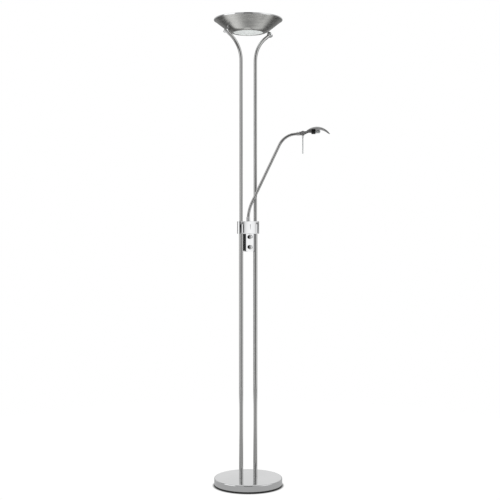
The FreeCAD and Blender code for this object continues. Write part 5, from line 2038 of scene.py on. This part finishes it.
        line.data.transform(place)
        line.name = node + "_index_line"
        self.shop.fit(line, dial, CHROME, extra="index_paint")


# ---- reading arm


@dataclass
class ReadingArm:
    """The bent arm, its root ferrule in the collar and the forked hinge at its end."""

    shop: Workshop
    azimuth: float = -31.0
    start: float = 1030.0 * MM
    first_bend: tuple[float, float] = (160.0 * MM, 25.5)
    straight: float = 242.0 * MM
    second_bend: tuple[float, float] = (75.0 * MM, 58.8)
    last: float = 17.5 * MM
    slot_width: float = 1.1 * MM
    slot_depth: float = 1.0 * MM
    pin_head: float = 5.0 * MM
    knurls: int = 36
    knurl_ring: float = 4.75 * MM

    def build(self) -> None:
        """Makes and fits the pieces of the arm."""
        low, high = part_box("arm_tube")
        path = FlatPath(0.0, low.z).run(self.start - low.z)
        path.bend(*self.first_bend).run(self.straight).bend(*self.second_bend).run(self.last)
        tube = self.shop.growers.rod("arm_tube_bent", path.stand(self.azimuth), high.y, 64)
        self.shop.fit(tube, ARM, CHROME, "arm_tube", extra="satin_tube")
        self._root(high.y)
        self.shop.ease("arm_lock_nut", ARM, ZINC, 0.3 * MM)
        self.shop.ease("arm_spring_washer", STAND, ZINC, 0.3 * MM)
        self.shop.ease("arm_bush", STAND, "white_nylon", 0.2 * MM)
        self.shop.ease("arm_fork", ARM, CHROME, 0.5 * MM, 3, extra="satin_casting")
        self._pin()
        self.shop.ease("tilt_washers", ARM, "white_nylon", 0.1 * MM)

    def _root(self, tube: float) -> None:
        """Turns the ferrule that covers the arm's root on the collar.

        Args:
            tube: Radius of the arm's tube.
        """
        low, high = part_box("arm_root_ferrule")
        bore = tube + 0.05 * MM
        wide = high.x
        outline = [
            (bore, low.z),
            (wide, low.z, 0.3 * MM),
            (wide, low.z + 2.7 * MM, 0.5 * MM),
            (wide - 0.8 * MM, low.z + 3.3 * MM),
            (wide - 0.8 * MM, high.z - 4.0 * MM, 1.2 * MM),
            (wide - 1.2 * MM, high.z, 0.3 * MM),
            (bore + 0.5 * MM, high.z, 0.15 * MM),
            (bore + 0.5 * MM, low.z + 5.9 * MM),
            (bore, low.z + 5.9 * MM),
        ]
        ferrule = turned("arm_root_ferrule_turned", [outline], sides=96)
        self.shop.fit(ferrule, ARM, CHROME, "arm_root_ferrule")

    def _pin(self) -> None:
        """Cuts a screwdriver slot in the hinge pin and knurls its nut."""
        hinge = middle("tilt_washers")
        turn = math.radians(self.azimuth)
        place = Matrix.Translation(hinge) @ Matrix.Rotation(turn, 4, "Z")
        head = self.pin_head
        reach = hinge.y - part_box("tilt_pin")[0].y
        face = (reach - head * abs(math.sin(turn))) / math.cos(turn)
        pin = refined("tilt_pin", "pin", 0.5 * MM, 3)
        slot = boxes("slot", [((0, -face, 0), (3 * head, 2 * self.slot_depth, self.slot_width))])
        slot.data.transform(place)
        pin = cut(pin, slot)
        pin.name = "tilt_pin_slotted"
        self.shop.fit(pin, ARM, CHROME, "tilt_pin", extra="satin_casting")
        nut = refined("tilt_nut", "nut", 0.3 * MM)
        seed = seed_of(boxes("knurl", [((0, 0, 0), (0.4 * MM, 0.4 * MM, 2.4 * MM))]))
        axis = place.to_3x3() @ Vector((0, 1, 0))
        knurls = self.shop.growers.ring.grow(
            "knurls",
            seed=seed,
            place=place_on(middle("tilt_nut"), axis),
            Count=self.knurls,
            Radius=self.knurl_ring,
        )
        self.shop.fit(joined("tilt_nut_knurled", nut, knurls), ARM, CHROME, "tilt_nut")


@dataclass
class ReaderHead:
    """The leaf-shaped reader hood with its lamp, holder, neck and clear rod."""

    shop: Workshop
    azimuth: float = -31.0
    curve: float = 60.0 * MM
    centre: float = 54.0 * MM
    rise: float = 25.0 * MM
    axis: float = 29.4 * MM
    wall: float = 1.5 * MM
    rim: float = 0.4 * MM
    leaf: tuple[Corner, ...] = ((16.0, 9.0), (62.0, 33.0), (94.4, 19.0), (104.4, 0.0))
    leaf_curves: tuple[float, ...] = (62.0, 62.0, 30.0)
    arch: tuple[float, float, float] = (60.5 * MM, 16.6 * MM, 57.3 * MM)
    rows: int = 36
    lamp_axis: float = 6.5 * MM
    socket_span: tuple[float, float] = (33.2 * MM, 48.2 * MM)
    socket_radius: float = 10.0 * MM
    lamp_base: float = 43.4 * MM
    lamp_radius: float = 6.5 * MM
    lamp_length: float = 24.0 * MM
    lamp_dome: float = 5.5 * MM

    def __post_init__(self) -> None:
        """Works out the frame of the head, at the middle of its hinge."""
        turn = Matrix.Rotation(math.radians(self.azimuth), 4, "Z")
        self.place = Matrix.Translation(middle("tilt_washers")) @ turn

    def build(self) -> None:
        """Makes and fits the pieces of the reader head."""
        self._hood()
        self.shop.ease("head_neck", HEAD, "dark_nickel", 0.6 * MM, 3, extra="satin_casting")
        self._lamp()
        self._rod()

    def _half_width(self, x: float, leaf: float) -> float:
        """Half the hood's width, where the arched side edge may cut the leaf shorter.

        Args:
            x: Distance from the hinge.
            leaf: Half the leaf's own width there.

        Returns:
            Half the width.
        """
        middle_x, rise, curve = self.arch
        inside = curve**2 - (x - middle_x) ** 2
        if inside <= 0.0:
            return leaf
        low = rise - curve + math.sqrt(inside) + self.axis
        spare = self._radius(x) ** 2 - low**2
        return min(leaf, math.sqrt(spare)) if spare > 0.0 else 0.0

    def _radius(self, x: float) -> float:
        """Radius of the hood's round section at x."""
        drop = self.curve - math.sqrt(self.curve**2 - (x - self.centre) ** 2)
        return self.rise + self.axis - drop

    def _hood(self) -> None:
        """Presses the hood: a grid over the leaf outline, given its wall and an eased rim."""
        stations: list[Point] = []
        for first, second, curve in zip(self.leaf, self.leaf[1:], self.leaf_curves):
            stations += arc(first, second, -curve, 22)
        stations.append(self.leaf[-1][:2])
        shape = bmesh.new()
        columns = []
        for station, leaf in stations:
            x = station * MM
            half = self._half_width(x, leaf * MM)
            radius = self._radius(x)
            column = []
            for i in range(self.rows + 1):
                y = half * math.sin(math.pi / 2 * (2 * i / self.rows - 1))
                z = -self.axis + math.sqrt(radius**2 - y**2)
                column.append(shape.verts.new(self.place @ Vector((x, y, z))))
            columns.append(column)
        for left, right in zip(columns, columns[1:]):
            for i in range(self.rows):
                shape.faces.new((left[i], right[i], right[i + 1], left[i + 1]))
        bmesh.ops.remove_doubles(shape, verts=shape.verts, dist=1e-7)
        hood = new_object("head_shell_pressed", mesh_from("hood", shape))
        wall = hood.modifiers.new("wall", "SOLIDIFY")
        wall.thickness = self.wall
        wall.offset = -1.0
        wall.use_even_offset = True
        wall.material_offset = 1
        hood.data.materials.append(self.shop.slots["dark_nickel"])
        hood.data.materials.append(self.shop.extras["hood_lining"])
        bevel(hood, self.rim, 3, 50.0)
        smooth(flatten(hood).data, 40.0)
        inner = [face.material_index for face in hood.data.polygons]
        self.shop.fit(hood, HEAD, "dark_nickel", "head_shell", inside="hood_lining")
        hood.data.polygons.foreach_set("material_index", inner)

    def _lamp(self) -> None:
        """Turns the grooved holder and blows the frosted capsule."""
        origin = self.place @ Vector((0, 0, self.lamp_axis))
        along = place_on(origin, self.place.to_3x3() @ Vector((1, 0, 0)))
        start, stop = self.socket_span
        bore = self.lamp_radius + 0.1 * MM
        seat = self.lamp_base - 0.2 * MM
        radius = self.socket_radius
        bevelled = 1.2 * MM
        outline: list[Corner] = [(0.0, start), (radius - bevelled, start)]
        outline.append((radius, start + bevelled))
        for i in range(3):
            spot = start + (4.2 + 3.2 * i) * MM
            for depth, offset in ((0.0, -0.5), (0.7, -0.3), (0.7, 0.3), (0.0, 0.5)):
                outline.append((radius - depth * MM, spot + offset * MM, 0.15 * MM))
        outline += [(radius, stop, 0.5 * MM), (bore, stop, 0.3 * MM), (bore, seat), (0.0, seat)]
        holder = turned("reader_socket_grooved", [outline], [along], sides=96)
        self.shop.fit(holder, HEAD, "black_plastic", "reader_socket")
        tip = self.lamp_base + self.lamp_length
        dome = (self.lamp_radius**2 + self.lamp_dome**2) / 2 / self.lamp_dome
        capsule: list[Corner] = [
            (0.0, self.lamp_base),
            (self.lamp_radius, self.lamp_base, 0.4 * MM),
            *arc((self.lamp_radius, tip - self.lamp_dome), (0.0, tip), dome, 14),
            (0.0, tip),
        ]
        lamp = turned("reader_capsule", [capsule], [along], sides=64)
        self.shop.fit(lamp, HEAD, "frosted_glass", "reader_lamp", extra="capsule_glass")

    def _rod(self) -> None:
        """Eases the rod's ferrule and turns the clear rod with its rounded end."""
        self.shop.ease("rod_ferrule", HEAD, CHROME, 0.35 * MM, 3)
        low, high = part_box("grab_rod")
        spot = middle("grab_rod")
        radius = (high.x - low.x) / 2
        outline = [
            (0.0, low.z),
            (radius, low.z, 1.2 * MM),
            (radius, high.z, 0.2 * MM),
            (0.0, high.z),
        ]
        place = Matrix.Translation((spot.x, spot.y, 0))
        rod = turned("grab_rod_polished", [outline], [place], sides=64, steps=8)
        self.shop.fit(rod, HEAD, "clear_acrylic", "grab_rod")


# ---- studio

Span = tuple[float, float]
WHITE = (1.0, 1.0, 1.0, 1.0)


@dataclass
class Studio:
    """Pale floor with a painted contact shadow, soft surrounding light and the camera."""

    turn: float = 31.0
    distance: float = 3.957
    height: float = 1.0056
    aim_right: float = 0.0069
    aim_height: float = 0.913
    lens: float = 73.8
    overhead: float = 0.55
    fade_above: Span = (26.0, 42.0)
    fade_below: Span = (-28.0, -15.0)
    below: float = 0.4
    behind: Span = (100.0, 140.0)
    horizon: Span = (5.0, 11.0)
    lifted: float = 0.52
    floor: float = 1.9
    floor_near: float = 0.5
    floor_left: float = 0.7
    floor_right: float = 0.45
    floor_side: Span = (50.0, 80.0)
    floor_lit: Span = (0.3, 0.9)
    floor_fade: float = 1.5
    # Painted contact shadow: across this ring of distance from the axis, the floor's emission as
    # the camera sees it rises from a dark level to full white.
    painted_shadow_ring: Span = (0.133, 0.141)
    painted_shadow_level: float = 0.2
    floor_shown: float = 1.02
    sky: tuple[Span, ...] = (
        (-180, 0.33),
        (-92, 0.36),
        (-84, 1.5),
        (-47, 1.5),
        (-43, 0.43),
        (-16, 0.43),
        (-13, 0.02),
        (13, 0.02),
        (16, 0.38),
        (36, 0.5),
        (52, 1.2),
        (62, 1.32),
        (74, 1.2),
        (90, 0.55),
        (120, 0.28),
        (180, 0.33),
    )

    def __post_init__(self) -> None:
        """Works out which way the camera stands."""
        turn = math.radians(self.turn)
        self.back = Vector((-math.sin(turn), -math.cos(turn), 0))
        self.right = Vector((math.cos(turn), -math.sin(turn), 0))

    def build(self) -> None:
        """Sets up the floor, the light and the camera."""
        self._camera()
        self._sky()
        self._floor()
        bpy.context.scene.view_settings.view_transform = "Standard"

    def _camera(self) -> None:
        """Stands the camera in front of the lamp at chest height."""
        camera = bpy.data.objects.new("camera", bpy.data.cameras.new("camera"))
        bpy.context.scene.collection.objects.link(camera)
        camera.location = self.back * self.distance + Vector((0, 0, self.height))
        aim = self.right * self.aim_right + Vector((0, 0, self.aim_height))
        camera.rotation_euler = (aim - camera.location).to_track_quat("-Z", "Y").to_euler()
        camera.data.lens = self.lens
        camera.data.clip_end = 50.0
        bpy.context.scene.camera = camera

    def _net(self, owner: World | Material) -> Net:
        """A net on an emptied world or material.

        Args:
            owner: The world or material.

        Returns:
            The net.
        """
        owner.use_nodes = True
        owner.node_tree.nodes.clear()
        return Net(owner.node_tree)

    def _bearing(self, net: Net, spot: NodeSocket) -> NodeSocket:
        """The angle round the lamp from the camera's side, in radians, positive to the right.

        Args:
            net: The net that works it out.
            spot: A place or a direction.

        Returns:
            The angle.
        """
        ahead, aside = (
            net.add("VectorMath", {"operation": "DOT_PRODUCT"}, in0=spot, in1=tuple(way))
            for way in (self.back, self.right)
        )
        return net.math("ARCTAN2", aside.outputs["Value"], ahead.outputs["Value"])

    def _bands(self, net: Net, bearing: NodeSocket) -> NodeSocket:
        """The sky's own brightness round the lamp.

        Args:
            net: The net that works it out.
            bearing: The angle round the lamp.

        Returns:
            The brightness.
        """
        share = net.plus(net.math("DIVIDE", bearing, math.tau), 0.5)
        ramp = net.add("ValToRGB", Fac=share)
        stops = ramp.color_ramp.elements
        while len(stops) > 1:
            stops.remove(stops[0])
        peak = max(level for _, level in self.sky)
        for index, (degrees, level) in enumerate(self.sky):
            spot = degrees / 360 + 0.5
            stop = stops[0] if index == 0 else stops.new(spot)
            stop.position = spot
            stop.color = (level / peak, level / peak, level / peak, 1.0)
        return net.times(ramp.outputs["Color"], peak)

    def _sky(self) -> None:
        """Surrounds the lamp with soft boxes in reflections, and with white elsewhere."""
        world = bpy.data.worlds.new("studio")
        bpy.context.scene.world = world
        net = self._net(world)
        if hasattr(world, "cycles"):
            world.cycles.sampling_method = "NONE"
        ray = net.add("TexCoord").outputs["Generated"]
        bearing = self._bearing(net, ray)
        rise = net.math("ARCSINE", net.add("SeparateXYZ", Vector=ray).outputs["Z"])
        above = net.stretch(rise, *map(math.radians, self.fade_above), 1.0, 0.0)
        below = net.stretch(rise, *map(math.radians, self.fade_below), self.below, 1.0)
        turned_away = net.math("ABSOLUTE", bearing)
        behind = net.stretch(turned_away, *map(math.radians, self.behind))
        lifted = net.stretch(rise, *map(math.radians, self.horizon), 0.0, self.lifted)
        pattern = net.times(self._bands(net, bearing), net.times(above, below))
        pattern = net.plus(pattern, net.times(net.rest(above), self.overhead))
        pattern = net.plus(pattern, net.times(behind, lifted))
        glossy = net.add("LightPath").outputs["Is Glossy Ray"]
        mixed = net.plus(net.times(pattern, glossy), net.rest(glossy))
        light = net.add("Background", Color=WHITE, Strength=mixed)
        net.add("OutputWorld", Surface=light.outputs[0])

    def _floor(self) -> None:
        """Lays a round pale floor that stays softer in reflections, with a painted contact shadow
        at the base's edge.
        """
        disc = turned("floor", [bar(self.floor, -20 * MM, -0.2 * MM)], sides=96)
        material = bpy.data.materials.new("studio_floor")
        net = self._net(material)
        spot = net.add("TexCoord").outputs["Object"]
        bearing = self._bearing(net, spot)
        reach = net.add("VectorMath", {"operation": "LENGTH"}, in0=spot).outputs["Value"]
        turned_away = net.math("ABSOLUTE", bearing)
        side = net.stretch(turned_away, *map(math.radians, self.floor_side))
        lit = net.times(side, net.stretch(reach, *self.floor_lit))
        lit = net.times(lit, net.stretch(reach, self.floor_fade, self.floor, 1.0, 0.0))
        tone = net.stretch(bearing, -0.1, 0.1, self.floor_left, self.floor_right)
        level = net.plus(self.floor_near, net.times(lit, tone))
        # Painted contact shadow on the floor: dark next to the base's edge and full white farther
        # out; reflections use the level above instead.
        camera_level_with_painted_shadow = net.stretch(reach, *self.painted_shadow_ring, self.painted_shadow_level, self.floor_shown)
        glossy = net.add("LightPath").outputs["Is Glossy Ray"]
        mixed = net.plus(net.times(level, glossy), net.times(camera_level_with_painted_shadow, net.rest(glossy)))
        light = net.add("Emission", Color=WHITE, Strength=mixed)
        net.add("OutputMaterial", Surface=light.outputs[0])
        disc.data.materials.append(material)


def main() -> None:
    """Builds the lamp's looks and the studio."""
    logging.basicConfig(level=logging.INFO, format="%(name)s: %(message)s", stream=sys.stdout)
    shop = Workshop()
    for assembly in (Base, Poles, Bowl, Collar, Dimmer, ReadingArm, ReaderHead):
        LOG.info("building %s", assembly.__name__)
        assembly(shop).build()
    Studio().build()
    LOG.info("%d pieces made", shop.count)


if __name__ == "__main__":
    main()
